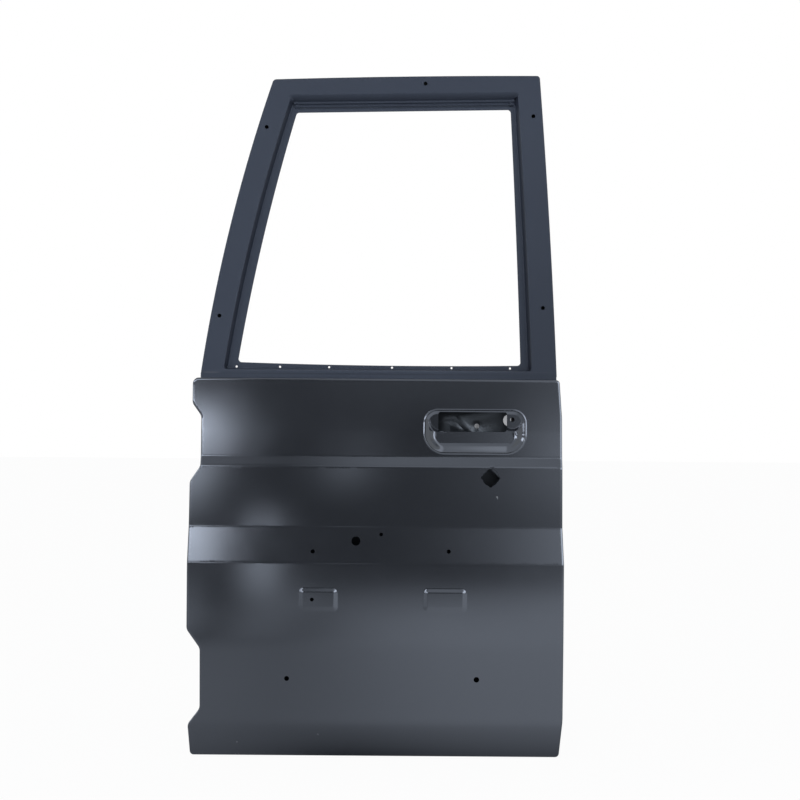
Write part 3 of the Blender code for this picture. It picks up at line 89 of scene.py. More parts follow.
# Outer skin: outline
SKIN_TOP = 0.669
SKIN_LATCH_EDGE = 0.630
SKIN_HINGE_EDGE = -0.0345
SHOULDER_FOOT_Z = 0.343
SHOULDER_TOP_Z = 0.406
TUCK_Z = 0.066
SKIN_CORNERS = (
    (-0.0290, 0.0, 0.007), (0.6245, 0.0, 0.007), (SKIN_LATCH_EDGE, TUCK_Z, 0.150),
    (SKIN_LATCH_EDGE, SHOULDER_FOOT_Z, 0.150), (0.628, SHOULDER_TOP_Z, 0.150),
    (0.627, 0.601, 0.150), (0.6225, SKIN_TOP, 0.007), (-0.0300, SKIN_TOP, 0.011),
    (-0.0300, 0.6232, 0.016), (-0.0140, 0.6010, 0.016), (-0.0140, 0.5120, 0.016),
    (-0.0325, 0.4850, 0.016), (SKIN_HINGE_EDGE, SHOULDER_FOOT_Z, 0.150),
    (SKIN_HINGE_EDGE, 0.2250, 0.016), (-0.0110, 0.1920, 0.016), (-0.0110, 0.0850, 0.016),
    (-0.0325, 0.0565, 0.016))

# Outer skin: upright section as z, depth, radius of the bend
SKIN_SECTION = (
    (0.0, 0.0200, 0), (TUCK_Z, 0.0065, 0.150), (0.200, 0.0, 0.600),
    (SHOULDER_FOOT_Z, 0.0, 0.012), (SHOULDER_TOP_Z, 0.0135, 0.012), (0.5125, 0.0150, 0.006),
    (0.5300, 0.0210, 0.006), (0.576, 0.0235, 0.150), (SKIN_TOP, 0.0290, 0))
EDGE_ROLL = 0.0045
EDGE_DROP = 0.0012
HEM_RETURN = 0.0075
HEM_BACK = 0.00354
HEM_ROWS = (HEM_RETURN, 0.0055, 0.0038)
HEM_STEPS = 18
FLANGE_ROLL, FLANGE_DROP = 0.010, 0.0024

# Handle recess
RECESS_X, RECESS_Z = 0.4725, 0.576
RECESS_WIDTH, RECESS_HEIGHT = 0.179, 0.077
RECESS_TOP_RADIUS, RECESS_FOOT_RADIUS = 0.023, 0.035
RECESS_DEPTH = 0.0165
RECESS_RAMP, RECESS_SPARE = 0.027, 0.004
RAMP_SLOPE, RAMP_TOP = 0.80, 0.0122
RAMP_RISE, RAMP_BLEND, BOWL_BLEND = 0.12, 0.002, 0.0015
RECESS_LIP, RECESS_LIP_WIDTH = 0.0008, 0.0022
GRIP = (0.4073, 0.5757, 0.5293, 0.6110, 0.004)
BOSSES = ((0.4120, 0.5980, 0.0190), (0.5390, 0.5980, 0.0155))
BOSS_DEPTH, BOSS_BLEND = 0.006, 0.006

# Holes and pads of the skin
LOCK_X, LOCK_Z = 0.5004, 0.4952
LOCK_RADIUS, LOCK_TIP, LOCK_TIP_WIDTH = 0.0149, 0.0173, 0.0036
SKIN_HOLES = (
    (0.263, 0.382, 0.0158), (0.3074, 0.3937, 0.0062), (0.1869, 0.3636, 0.0074),
    (0.4267, 0.3649, 0.0072), (0.1427, 0.1395, 0.0086), (0.4771, 0.1396, 0.0098),
    (0.1864, 0.2795, 0.0067), (0.5390, 0.5980, 0.0080))
PADS = ((0.1974, 0.070), (0.4206, 0.078))
PAD_Z, PAD_HEIGHT, PAD_RISE, PAD_BORDER, PAD_RADIUS = 0.2795, 0.042, 0.0026, 0.0085, 0.009

# Rows of mesh points on the skin, as insets from the recess, a pad and the skin's edge
RECESS_ROWS = np.arange(-0.0040, 0.0185, 0.0006)
PAD_ROWS = np.arange(-0.001, 0.0095, 0.0007)
EDGE_ROWS = (0.0020, 0.0025, 0.0030, 0.0035, 0.0040, 0.0046, 0.0060, 0.0080)

# Window frame
FRAME_LEAN = tan(radians(3.0))
FRAME_FACE_Y, FRAME_BELT_Z, FRAME_FOOT = 0.039, 0.672, 0.628
FRAME_RETURN, RETURN_ROW, FRAME_BEND = 0.011, 0.006, 0.002
LATCH_WALL = 0.600
FRAME_HINGE_EDGE, FRAME_LATCH_EDGE = -0.018, 0.6185
FRAME_TOP_HINGE, FRAME_TOP_LATCH = (0.1065, 1.2080), (0.5865, 1.2178)
TOP_HINGE_RADIUS, TOP_LATCH_RADIUS = 0.0075, 0.006
FOOT_RADIUS, TRAY_RADIUS = 0.004, 0.002
HINGE_BOW, LATCH_BOW, TOP_BOW = 0.0125, 0.0025, 0.0020
REBATE = ((0.0222, 0.684), (0.5746, 0.684), (0.548, 1.185), (0.138, 1.1775))
REBATE_BOWS = (0.0, 0.0020, 0.0, 0.0100)
REBATE_DEPTH = 0.016
OPENING_RADIUS = 0.006
# The top rail's step starts above a height where the rebate faces down, and the foot's step where
# it faces up, as shares of a unit direction
TOP_RAIL_Z, TOP_RAIL_BLEND, TOP_RAIL_FACING = 1.168, 0.006, -0.3
FOOT_FACING, FOOT_BLEND = 0.2, 0.7
# Steps from the face to the flange as inset and depth: at the sides, the foot and the top rail
SIDE_STEP = (
    (0.0, 0.0), (0.0006, 0.0002), (0.0011, 0.0007), (0.0015, 0.0015), (0.0019, 0.0026),
    (0.0026, 0.0048), (0.0034, 0.0074), (0.0042, 0.0102), (0.0050, 0.0128), (0.0056, 0.0144),
    (0.0061, 0.0153), (0.0066, 0.0158), (0.0071, 0.0160), (0.0074, 0.0160), (0.0077, 0.0160),
    (0.0080, 0.0160), (0.0083, 0.0160), (0.0086, 0.0160), (0.0089, 0.0160), (0.0092, 0.0160))
FOOT_STEP = (
    (0.0, 0.0), (0.0003, 0.0002), (0.0006, 0.0007), (0.0008, 0.0015), (0.0009, 0.0026),
    (0.0010, 0.0048), (0.0011, 0.0074), (0.0012, 0.0102), (0.0013, 0.0128), (0.0014, 0.0144),
    (0.0016, 0.0153), (0.0018, 0.0158), (0.0020, 0.0160), (0.0021, 0.0160), (0.0022, 0.0160),
    (0.0023, 0.0160), (0.0024, 0.0160), (0.0025, 0.0160), (0.0026, 0.0160), (0.0027, 0.0160))
TOP_STEP = (
    (-0.0040, 0.0), (-0.0015, 0.0004), (0.0010, 0.0018), (0.0035, 0.0042), (0.0060, 0.0074),
    (0.0078, 0.0106), (0.0086, 0.0122), (0.0094, 0.0126), (0.0104, 0.0124), (0.0118, 0.0120),
    (0.0126, 0.0130), (0.0135, 0.0156), (0.0144, 0.0160), (0.0158, 0.0154), (0.0172, 0.0148),
    (0.0182, 0.0160), (0.0190, 0.0176), (0.0199, 0.0170), (0.0210, 0.0162), (0.0222, 0.0160))
OPENING = ((0.0475, 0.6975), (0.5545, 0.6945), (0.5350, 1.1580), (0.1485, 1.1500))
OPENING_BOWS = (0.0030, 0.0012, 0.0, 0.0070)
FRAME_HOLES = ((0.0148, 0.780), (0.5932, 0.798), (0.0954, 1.121), (0.5750, 1.144), (0.3806, 1.2019))
FRAME_HOLE = 0.0072
FLANGE_HOLES = ((0.045, 0.6895), (0.123, 0.6895), (0.211, 0.6895), (0.324, 0.6895),
                (0.431, 0.6895), (0.536, 0.6895))
FLANGE_HOLE = 0.004

# Plugs as x, z, radius and the depth of the panel's rear face
DISH_PLUG = (0.4780, 0.5852, 0.0049, 0.0790)
SIGHT_PLUG = (0.5362, 0.5961, 0.0110, 0.0760)
PLUG_SIDES = 40

# Marks and painted shade as x, z, half width, half height, share of the solid middle, strength and
# colour
SKIN_MARKS = (
    (0.5117, 0.4612, 0.0022, 0.0014, 0.5, 0.7, (0.30, 0.31, 0.33)),
    (0.5127, 0.4592, 0.0010, 0.0024, 0.5, 0.5, (0.30, 0.31, 0.33)),
    (0.0549, 0.0247, 0.0016, 0.0013, 0.4, 0.6, (0.20, 0.21, 0.23)),
    (0.1980, 0.0397, 0.0013, 0.0013, 0.4, 0.5, (0.20, 0.21, 0.23)))
FRAME_MARKS_AND_SHADE = (
    # A wide dark oval over the latch pillar: painted shade.
    (0.6050, 0.6600, 0.2000, 0.4600, 0.2, 0.6, (0.0070, 0.0090, 0.0160)),
    # A dark line along the foot rail: painted shadow under the skin's top edge.
    (0.3000, 0.6772, 0.4200, 0.0013, 0.3, 0.7, (0.006, 0.008, 0.014)),
    (0.3000, 0.6828, 0.4000, 0.0010, 0.3, 0.3, (0.070, 0.080, 0.105)),
    (0.0010, 0.6785, 0.0200, 0.0022, 0.4, 0.4, (0.070, 0.075, 0.090)))
# A dark patch over the sight plug's right side: painted shadow.
SIGHT_PAINTED_SHADOW = ((0.5470, 0.5961, 0.0080, 0.0300, 0.85, 1.0, (0.004, 0.004, 0.005)),)

# Facets of the solids that are joined and shaded smooth
FACET_JOIN = 0.00001
SHARP_ANGLE = radians(35)

# Camera, and the plain level of each screen in the studio
CAMERA_PLACE = (0.3388, -2.852, 0.0750)
CAMERA_LENS, CAMERA_ROLL = 71.6, -0.0075
FAR_LEVEL, NEAR_LEVEL, FLOOR_LEVEL = 0.17, 0.20, 0.60


# Outlines in the door's upright plane

class Outline:
    """A closed line, counter-clockwise seen from outside: its points, the unit direction inwards
    at each, the room for a straight inset, and the direction that a sharp corner insets along."""

    def __init__(self, points, inward, room, miter):
        self.points, self.inward, self.room, self.miter = points, inward, room, miter

    def inset(self, distance):
        """Points moved inwards: straight as far as a bend has room, then along its miter."""
        straight = np.minimum(distance, self.room)[:, None]
        return self.points + self.inward * straight + self.miter * (distance - straight)


def rounded(corners, spacing=0.004, arc_step=radians(7)):
    """Outline through (x, z, radius) corners: circular arcs tangent to both sides, joined by
    straight runs with points at most the spacing apart."""
    places = np.array([corner[:2] for corner in corners], float)
    ahead = np.roll(places, -1, 0) - places
    lengths = np.hypot(*ahead.T)
    ahead /= lengths[:, None]
    pieces = []
    for index, corner in enumerate(corners):
        into, out = ahead[index - 1], ahead[index]
        turn = atan2(into[0] * out[1] - into[1] * out[0], into @ out)
        side_in, side_out = np.array([-into[1], into[0]]), np.array([-out[1], out[0]])
        miter = (side_in + side_out) / (1 + side_in @ side_out)
        radius = corner[2] if len(corner) > 2 else 0.0
        if radius <= 0 or abs(turn) < 0.01:
            pieces.append((places[index][None], miter[None], [inf], miter))
            continue
        reach = min(radius * tan(abs(turn) / 2), 0.48 * lengths[index - 1], 0.48 * lengths[index])
        radius = reach / tan(abs(turn) / 2)
        hand = 1 if turn > 0 else -1
        start = places[index] - into * reach
        centre = start + side_in * radius * hand
        steps = max(2, ceil(abs(turn) / arc_step), ceil(abs(turn) * radius / spacing))
        angles = turn * np.arange(steps + 1) / steps
        spoke = start - centre
        swung = np.stack([spoke[0] * np.cos(angles) - spoke[1] * np.sin(angles),
                          spoke[0] * np.sin(angles) + spoke[1] * np.cos(angles)], 1)
        room = [0.94 * radius if hand > 0 else inf] * (steps + 1)
        pieces.append((centre + swung, -swung / radius * hand, room, miter))
    points, inward, rooms, miters = [], [], [], []
    for index, (arc, normals, room, miter) in enumerate(pieces):
        points.append(arc)
        inward.append(normals)
        rooms += room
        miters.append(np.repeat(miter[None], len(arc), 0))
        gap = pieces[(index + 1) % len(pieces)][0][0] - arc[-1]
        runs = max(1, ceil(np.hypot(*gap) / spacing))
        shares = np.arange(1, runs)[:, None] / runs
        side = np.array([-gap[1], gap[0]]) / np.hypot(*gap)
        points.append(arc[-1] + gap * shares)
        inward.append(np.repeat(side[None], runs - 1, 0))
        miters.append(np.repeat(side[None], runs - 1, 0))
        rooms += [inf] * (runs - 1)
    return Outline(np.concatenate(points), np.concatenate(inward), np.array(rooms),
                   np.concatenate(miters))


def bowed(start, end, bow, steps=24):
    """Corners between two points on a parabola that bows to the right of its direction."""
    start, end = np.array(start, float), np.array(end, float)
    along = end - start
    outward = np.array([along[1], -along[0]]) / np.hypot(*along)
    shares = np.arange(1, steps)[:, None] / steps
    return (start + along * shares + outward * bow * 4 * shares * (1 - shares)).tolist()


def ring_of_four(corners, bows, radius):
    """A four-sided outline with bowed sides and rounded corners."""
    line = []
    for index, corner in enumerate(corners):
        line.append((*corner, radius))
        line += bowed(corner, corners[(index + 1) % 4], bows[index])
    return rounded(line, spacing=0.006)


def circle(x, z, diameter, steps=28):
    """Points on a circle: its middle plus the radius times the cosine and sine of even angles."""
    angles = 2 * pi * (np.arange(steps) + 0.5) / steps
    return np.stack([x + diameter / 2 * np.cos(angles), z + diameter / 2 * np.sin(angles)], 1)


def box_outline(left, foot, right, top, radius, spacing=0.003):
    """A rounded upright rectangle."""
    return rounded([(left, foot, radius), (right, foot, radius), (right, top, radius),
                    (left, top, radius)], spacing)


def lock_outline():
    """A circle with four squared tips, one to each side."""
    line = []
    for quarter in range(4):
        turn = quarter * pi / 2
        for side in (-LOCK_TIP_WIDTH / 2, LOCK_TIP_WIDTH / 2):
            line.append((LOCK_X + LOCK_TIP * cos(turn) - side * sin(turn),
                         LOCK_Z + LOCK_TIP * sin(turn) + side * cos(turn), 0.0012))
        for share in np.linspace(0.16, 0.84, 11):
            swing = turn + share * pi / 2
            line.append((LOCK_X + LOCK_RADIUS * cos(swing), LOCK_Z + LOCK_RADIUS * sin(swing), 0))
    return rounded(line, 0.001)


# Heights of pressed sheets, as whole arrays

def ease(share):
    """Smooth step: 3 s squared less 2 s cubed, held between 0 and 1."""
    share = np.clip(share, 0.0, 1.0)
    return share * share * (3 - 2 * share)


def lesser(first, second, blend):
    """The lesser of two heights, rounded where they cross: the share of the first grows evenly
    over the blend, and a parabola takes the corner off."""
    share = np.clip(0.5 + 0.5 * (second - first) / blend, 0, 1)
    return second + (first - second) * share - blend * share * (1 - share)


def inside_distance(x, z, middle_x, middle_z, width, height, radius):
    """How far a point lies inside a rounded rectangle, negative outside it: the corner radius
    less the distance from the rectangle that the corner middles span."""
    across = np.abs(x - middle_x) - (width / 2 - radius)
    up = np.abs(z - middle_z) - (height / 2 - radius)
    return radius - np.hypot(np.maximum(across, 0), np.maximum(up, 0)) - np.minimum(
        np.maximum(across, up), 0)


def section_line(corners, steps=10):
    """An upright section through (z, depth, radius) corners, each bend an arc."""
    places = np.array([corner[:2] for corner in corners])
    line = [places[0][None]]
    for index in range(1, len(corners) - 1):
        into, out = places[index] - places[index - 1], places[index + 1] - places[index]
        room = 0.48 * min(np.hypot(*into), np.hypot(*out))
        into, out = into / np.hypot(*into), out / np.hypot(*out)
        turn = atan2(into[0] * out[1] - into[1] * out[0], into @ out)
        reach = min(corners[index][2] * tan(abs(turn) / 2), room)
        radius = reach / tan(abs(turn) / 2)
        hand = 1 if turn > 0 else -1
        start = places[index] - into * reach
        centre = start + np.array([-into[1], into[0]]) * radius * hand
        angles = turn * np.arange(steps + 1) / steps
        spoke = start - centre
        line.append(centre + np.stack([spoke[0] * np.cos(angles) - spoke[1] * np.sin(angles),
                                       spoke[0] * np.sin(angles) + spoke[1] * np.cos(angles)], 1))
    line.append(places[-1][None])
    return np.concatenate(line)


PROFILE = section_line(SKIN_SECTION)


def profile_depth(z):
    """Depth of the plain skin at a height, along the section line."""
    return np.interp(z, PROFILE[:, 0], PROFILE[:, 1])


def recess_depth(x, z):
    """Handle recess below the plain skin: a raised lip, an eased wall to the floor, a straight
    ramp that rises to the foot, and a round boss near each end."""
    radius = np.where(z > RECESS_Z, RECESS_TOP_RADIUS, RECESS_FOOT_RADIUS)
    inside = inside_distance(x, z, RECESS_X, RECESS_Z, RECESS_WIDTH, RECESS_HEIGHT, radius)
    climb = z - RECESS_Z + RECESS_HEIGHT / 2
    above = RAMP_TOP + RAMP_RISE * (climb - RAMP_TOP / RAMP_SLOPE)
    ramp = lesser(RAMP_SLOPE * climb, above, RAMP_BLEND)
    wall = RECESS_DEPTH * ease((inside + RECESS_SPARE) / RECESS_RAMP)
    bowl = lesser(wall, np.minimum(ramp, RECESS_DEPTH), BOWL_BLEND)
    bowl = bowl - RECESS_LIP * (1 - ease(inside / RECESS_LIP_WIDTH))
    for boss_x, boss_z, boss_radius in BOSSES:
        blend = ease((np.hypot(x - boss_x, z - boss_z) - boss_radius) / BOSS_BLEND)
        level = np.minimum(bowl, BOSS_DEPTH)
        bowl = level + (bowl - level) * blend
    return np.where(inside < 0, -RECESS_LIP * ease(1 + inside / RECESS_LIP_WIDTH), bowl)


def skin_depth(x, z):
    """Depth of the pressed skin: its section, the handle recess and the two raised pads."""
    depth = profile_depth(z) + recess_depth(x, z)
    for middle, width in PADS:
        inside = inside_distance(x, z, middle, PAD_Z, width, PAD_HEIGHT, PAD_RADIUS)
        depth = depth - PAD_RISE * ease(inside / PAD_BORDER)
    return depth


def edge_drop(distance):
    """How far the skin has rolled back at a distance from its edge: a parabola."""
    return EDGE_DROP * np.maximum(0.0, 1 - distance / EDGE_ROLL) ** 2


def frame_plane(x, z):
    """Depth of the frame's outer face, a plane: its depth at the belt plus the height above it
    times the tangent of its lean."""
    return FRAME_FACE_Y + (z - FRAME_BELT_Z) * FRAME_LEAN + 0 * x


def edge_distance(places, ring):
    """Distance from each place to the nearest side of a closed ring and the unit direction away
    from it: each place is projected on every side, and the nearest counts."""
    side = np.roll(ring, -1, 0) - ring
    squared = (side ** 2).sum(1)
    distance, away = np.empty(len(places)), np.empty((len(places), 2))
    for part in np.array_split(np.arange(len(places)), len(places) // 1500 + 1):
        gap = places[part, None] - ring
        share = np.clip((gap * side).sum(2) / squared, 0, 1)
        gap = gap - share[..., None] * side
        reach = (gap ** 2).sum(2)
        nearest = reach.argmin(1)
        rows = np.arange(len(part))
        distance[part] = np.sqrt(reach[rows, nearest])
        away[part] = gap[rows, nearest] / np.maximum(distance[part], 1e-9)[:, None]
    return distance, away


def thinned(seeds, fixed, cell):
    """Keeps one seed a cell, and none next to a fixed point. A cell's code is its column times
    the stride plus its row."""
    stride = 100003
    around = np.array([(a, b) for a in (-1, 0, 1) for b in (-1, 0, 1)])
    taken = (np.round(fixed / cell).astype(int)[:, None] + around).reshape(-1, 2)
    keys = np.round(seeds / cell).astype(int)
    _, first = np.unique(keys, axis=0, return_index=True)
    seeds, keys = seeds[first], keys[first]
    code = keys[:, 0] * stride + keys[:, 1]
    return seeds[~np.isin(code, taken[:, 0] * stride + taken[:, 1])]


def blank(loops, seeds):
    """Triangles of a flat blank: the first loop is its border and the others are holes. It
    returns the points, the triangles and the new index of each loop point."""
    points = np.concatenate(list(loops) + [seeds])
    starts = np.cumsum([0] + [len(loop) for loop in loops])
    faces = [list(range(a, b)) for a, b in zip(starts[:-1], starts[1:])]
    places, _, triangles, sources, _, owners = delaunay_2d_cdt(points.tolist(), [], faces, 1, 1e-7)
    places = np.array(places)[:, :2]
    triangles = np.array(triangles)[np.fromiter(map(len, owners), int) == 1]
    index = np.full(len(points), -1)
    for new, old in enumerate(sources):
        index[old] = new
    return places, triangles, [index[a:b] for a, b in zip(starts[:-1], starts[1:])]


class Pressing:
    """One side of a sheet: its points with their normals, its faces and its free edges."""

    def __init__(self):
        self.points, self.normals, self.faces, self.edges = [], [], [], []
        self.count = 0

    def add(self, points, normals):
        """Adds points and returns their indices."""
        self.points.append(points)
        self.normals.append(normals / np.linalg.norm(normals, axis=1, keepdims=True))
        self.count += len(points)
        return np.arange(self.count - len(points), self.count)

    def band(self, rings):
        """Quads between closed rings of the same length, listed from the outside inwards."""
        for outer, inner in zip(rings, rings[1:]):
            self.faces.append(np.stack([outer, np.roll(outer, -1), np.roll(inner, -1), inner], 1))

    def sweep(self, lines, first_normal=None, last_normal=None):
        """A section carried round a closed path: lines holds one ring of points per station of
        the section, and normals are the cross product of the two directions along the grid.
        Where an arc has shrunk to a point, the first ring gives the direction round."""
        grid = np.stack(lines)
        along = np.roll(grid, -1, 1) - np.roll(grid, 1, 1)
        shrunk = np.linalg.norm(along, axis=2, keepdims=True) < 1e-6
        along = np.where(shrunk, along[:1], along)
        across = np.gradient(grid, axis=0)
        normals = np.cross(along, across)
        if first_normal is not None:
            normals[0] = first_normal
        if last_normal is not None:
            normals[-1] = last_normal
        return [self.add(line, normal) for line, normal in zip(grid, normals)]

    def solid(self, name, gauge, inward=False):
        """A closed mesh: the listed side, the same side a gauge behind it, and a rim along each
        free edge. The shading normals are the surface's own."""
        used = np.unique(np.concatenate([faces.ravel() for faces in self.faces]))
        points, normals = np.concatenate(self.points)[used], np.concatenate(self.normals)[used]
        count = len(points)
        index = np.zeros(self.count, int)
        index[used] = np.arange(count)
        loops, starts, sizes, corner_normals = [], [], [], []
        place = 0

        def take(faces, face_normals):
            nonlocal place
            size = faces.shape[1]
            loops.append(faces.ravel())
            starts.append(place + size * np.arange(len(faces)))
            sizes.append(np.full(len(faces), size))
            corner_normals.append(face_normals.reshape(-1, 3))
            place += faces.size

        for faces in self.faces:
            front = index[faces]
            front = front[:, ::-1] if inward else front
            take(front, normals[front])
            take(front[:, ::-1] + count, -normals[front[:, ::-1]])
        places = np.concatenate([points, points - normals * gauge])
        for edge in self.edges:
            edge = index[edge]
            rim = np.stack([edge, edge + count, np.roll(edge, -1) + count, np.roll(edge, -1)], 1)
            if inward:
                rim = rim[:, ::-1]
            corners = places[rim]
            flat = np.cross(corners[:, 2] - corners[:, 0], corners[:, 3] - corners[:, 1])
            flat /= np.maximum(np.linalg.norm(flat, axis=1, keepdims=True), 1e-12)
            take(rim, np.repeat(flat[:, None], 4, 1))
        mesh = bpy.data.meshes.new(name)
        mesh.vertices.add(2 * count)
        mesh.vertices.foreach_set("co", (places - DOOR_ORIGIN).astype(np.float32).ravel())
        loops = np.concatenate(loops).astype(np.int32)
        mesh.loops.add(len(loops))
        mesh.loops.foreach_set("vertex_index", loops)
        starts = np.concatenate(starts).astype(np.int32)
        mesh.polygons.add(len(starts))
        mesh.polygons.foreach_set("loop_start", starts)
        mesh.update(calc_edges=True)
        mesh.polygons.foreach_set("use_smooth", np.ones(len(starts), bool))
        mesh.normals_split_custom_set(np.concatenate(corner_normals).tolist())
        piece = bpy.data.objects.new(name, mesh)
        bpy.context.scene.collection.objects.link(piece)
        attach(piece, "root")
        return piece


def up(points, depth):
    """Door-line points from x, z and a depth."""
    return np.stack([points[:, 0], depth, points[:, 1]], 1)


def surface_normals(depth, places, step=0.0002):
    """Outward normals of y = depth(x, z): the slopes by central differences, facing -y."""
    x, z = places.T
    slope_x = (depth(x + step, z) - depth(x - step, z)) / (2 * step)
    slope_z = (depth(x, z + step) - depth(x, z - step)) / (2 * step)
    return np.stack([slope_x, np.full(len(x), -1.0), slope_z], 1)


def grid_seeds(low, high, spacing):
    """A staggered grid of seeds over a rectangle."""
    xs, zs = np.arange(low[0], high[0], spacing), np.arange(low[1], high[1], spacing)
    x, z = np.meshgrid(xs, zs)
    x = x + spacing / 2 * (np.arange(len(zs)) % 2)[:, None]
    return np.stack([x.ravel(), z.ravel()], 1)


def row_seeds(rows, low, high, spacing):
    """Seeds on level rows."""
    x, z = np.meshgrid(np.arange(low, high, spacing), rows)
    return np.stack([x.ravel(), z.ravel()], 1)


# Outer skin

def hem_round():
    """The hem's arc: it leaves the rolled edge at the angle whose tangent is the roll's slope, and
    its radius takes it to the back of the hem. It returns the angle, radius and middle depth."""
    angle, radius = 0.35, 0.0023
    for _ in range(30):
        inset = radius * (1 - sin(angle))
        angle = atan(2 * EDGE_DROP / EDGE_ROLL * (1 - inset / EDGE_ROLL))
        front = EDGE_DROP * (1 - inset / EDGE_ROLL) ** 2
        radius = (float(hem_back(radius)) - front) / (1 + cos(angle))
    return angle, radius, front + radius * cos(angle)


def hem_back(inset):
    """Depth of the back of the hem behind the plain skin: the parabola of the panel's rolled
    flange, further back by the hem's thickness."""
    return FLANGE_DROP * np.maximum(0.0, 1 - inset / FLANGE_ROLL) ** 2 + HEM_BACK


def make_skin():
    """The pressed skin with its handle recess, pads and holes, hemmed all round: a flat blank
    pressed to skin_depth plus edge_drop, and an arc and a return carried round its outline."""
    outline = rounded(SKIN_CORNERS)
    press = Pressing()
    angle, radius, arc_middle = hem_round()
    border_inset = radius * (1 - sin(angle))
    outward = -up(outline.inward, np.zeros(len(outline.points)))

    lines, normals = [], []
    for inset in HEM_ROWS:
        points = outline.inset(inset)
        lines.append(up(points, profile_depth(points[:, 1]) + hem_back(inset)))
        normals.append(np.tile([0.0, 1.0, 0.0], (len(points), 1)))
    for turn in np.linspace(pi, angle, HEM_STEPS):
        points = outline.inset(radius * (1 - sin(turn)))
        depth = profile_depth(points[:, 1]) + arc_middle - radius * cos(turn)
        lines.append(up(points, depth))
        normals.append(outward * sin(turn) + np.array([0.0, -cos(turn), 0.0]))
    rings = [press.add(line, normal) for line, normal in zip(lines[:-1], normals[:-1])]

    border = outline.inset(border_inset)
    holes = [box_outline(*GRIP, spacing=0.002).points, lock_outline().points]
    holes += [circle(*hole, steps=32) for hole in SKIN_HOLES]
    fixed = np.concatenate([border] + holes)
    left, right = RECESS_X - RECESS_WIDTH / 2, RECESS_X + RECESS_WIDTH / 2
    foot, top = RECESS_Z - RECESS_HEIGHT / 2, RECESS_Z + RECESS_HEIGHT / 2
    recess = rounded([(left, foot, RECESS_FOOT_RADIUS), (right, foot, RECESS_FOOT_RADIUS),
                      (right, top, RECESS_TOP_RADIUS), (left, top, RECESS_TOP_RADIUS)], 0.0015)
    seeds = [recess.inset(step) for step in RECESS_ROWS]
    for x, z, boss_radius in BOSSES:
        seeds += [circle(x, z, 2 * reach, 64)
                  for reach in np.arange(0.004, boss_radius + BOSS_BLEND + 0.001, 0.0007)]
    for middle, width in PADS:
        pad = box_outline(middle - width / 2, PAD_Z - PAD_HEIGHT / 2, middle + width / 2,
                          PAD_Z + PAD_HEIGHT / 2, PAD_RADIUS, 0.002)
        seeds += [pad.inset(step) for step in PAD_ROWS]
    seeds += [outline.inset(step) for step in EDGE_ROWS]
    for x, z, diameter in SKIN_HOLES:
        seeds += [circle(x, z, diameter + grow, 32) for grow in (0.0015, 0.004)]
    bends = PROFILE[1:-1, 0]
    seeds.append(row_seeds(bends[(np.diff(bends, prepend=0) > 0.0002)], -0.034, 0.63, 0.0055))
    seeds.append(grid_seeds((-0.04, -0.002), (0.64, 0.675), 0.005))
    seeds = thinned(np.concatenate(seeds), fixed, 0.0005)
    places, triangles, loops = blank([border] + holes, seeds)
    distance, away = edge_distance(places, outline.points)
    distance[loops[0]] = border_inset
    depth = skin_depth(*places.T) + edge_drop(distance)
    normals = surface_normals(skin_depth, places)
    slope = -2 * EDGE_DROP / EDGE_ROLL * np.maximum(0.0, 1 - distance / EDGE_ROLL)
    normals[:, 0] += slope * away[:, 0]
    normals[:, 2] += slope * away[:, 1]
    first = press.add(up(places, depth), normals)[0]
    press.faces.append(triangles + first)
    press.band(rings + [loops[0] + first])
    press.edges = [rings[0]] + [(loop + first)[::-1] for loop in loops[1:]]
    skin = press.solid("door_skin", SKIN_GAUGE)
    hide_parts("outer_skin")
    return skin


# Window frame

def frame_outline():
    """Outside of the frame, with the narrower foot that stands in the tray."""
    foot_left, foot_right = PANEL_GAUGE + FIT_GAP, LATCH_WALL - PANEL_GAUGE - FIT_GAP
    latch_foot, hinge_foot = (FRAME_LATCH_EDGE, FRAME_BELT_Z), (FRAME_HINGE_EDGE, FRAME_BELT_Z)
    line = [(foot_left, FRAME_FOOT, FOOT_RADIUS), (foot_right, FRAME_FOOT, FOOT_RADIUS),
            (foot_right, FRAME_BELT_Z, TRAY_RADIUS), (*latch_foot, FOOT_RADIUS)]
    line += bowed(latch_foot, FRAME_TOP_LATCH, LATCH_BOW)
    line += [(*FRAME_TOP_LATCH, TOP_LATCH_RADIUS)]
    line += bowed(FRAME_TOP_LATCH, FRAME_TOP_HINGE, TOP_BOW)
    line += [(*FRAME_TOP_HINGE, TOP_HINGE_RADIUS)]
    line += bowed(FRAME_TOP_HINGE, hinge_foot, HINGE_BOW)
    line += [(*hinge_foot, FOOT_RADIUS), (foot_left, FRAME_BELT_Z, TRAY_RADIUS)]
    return rounded(line, spacing=0.006)


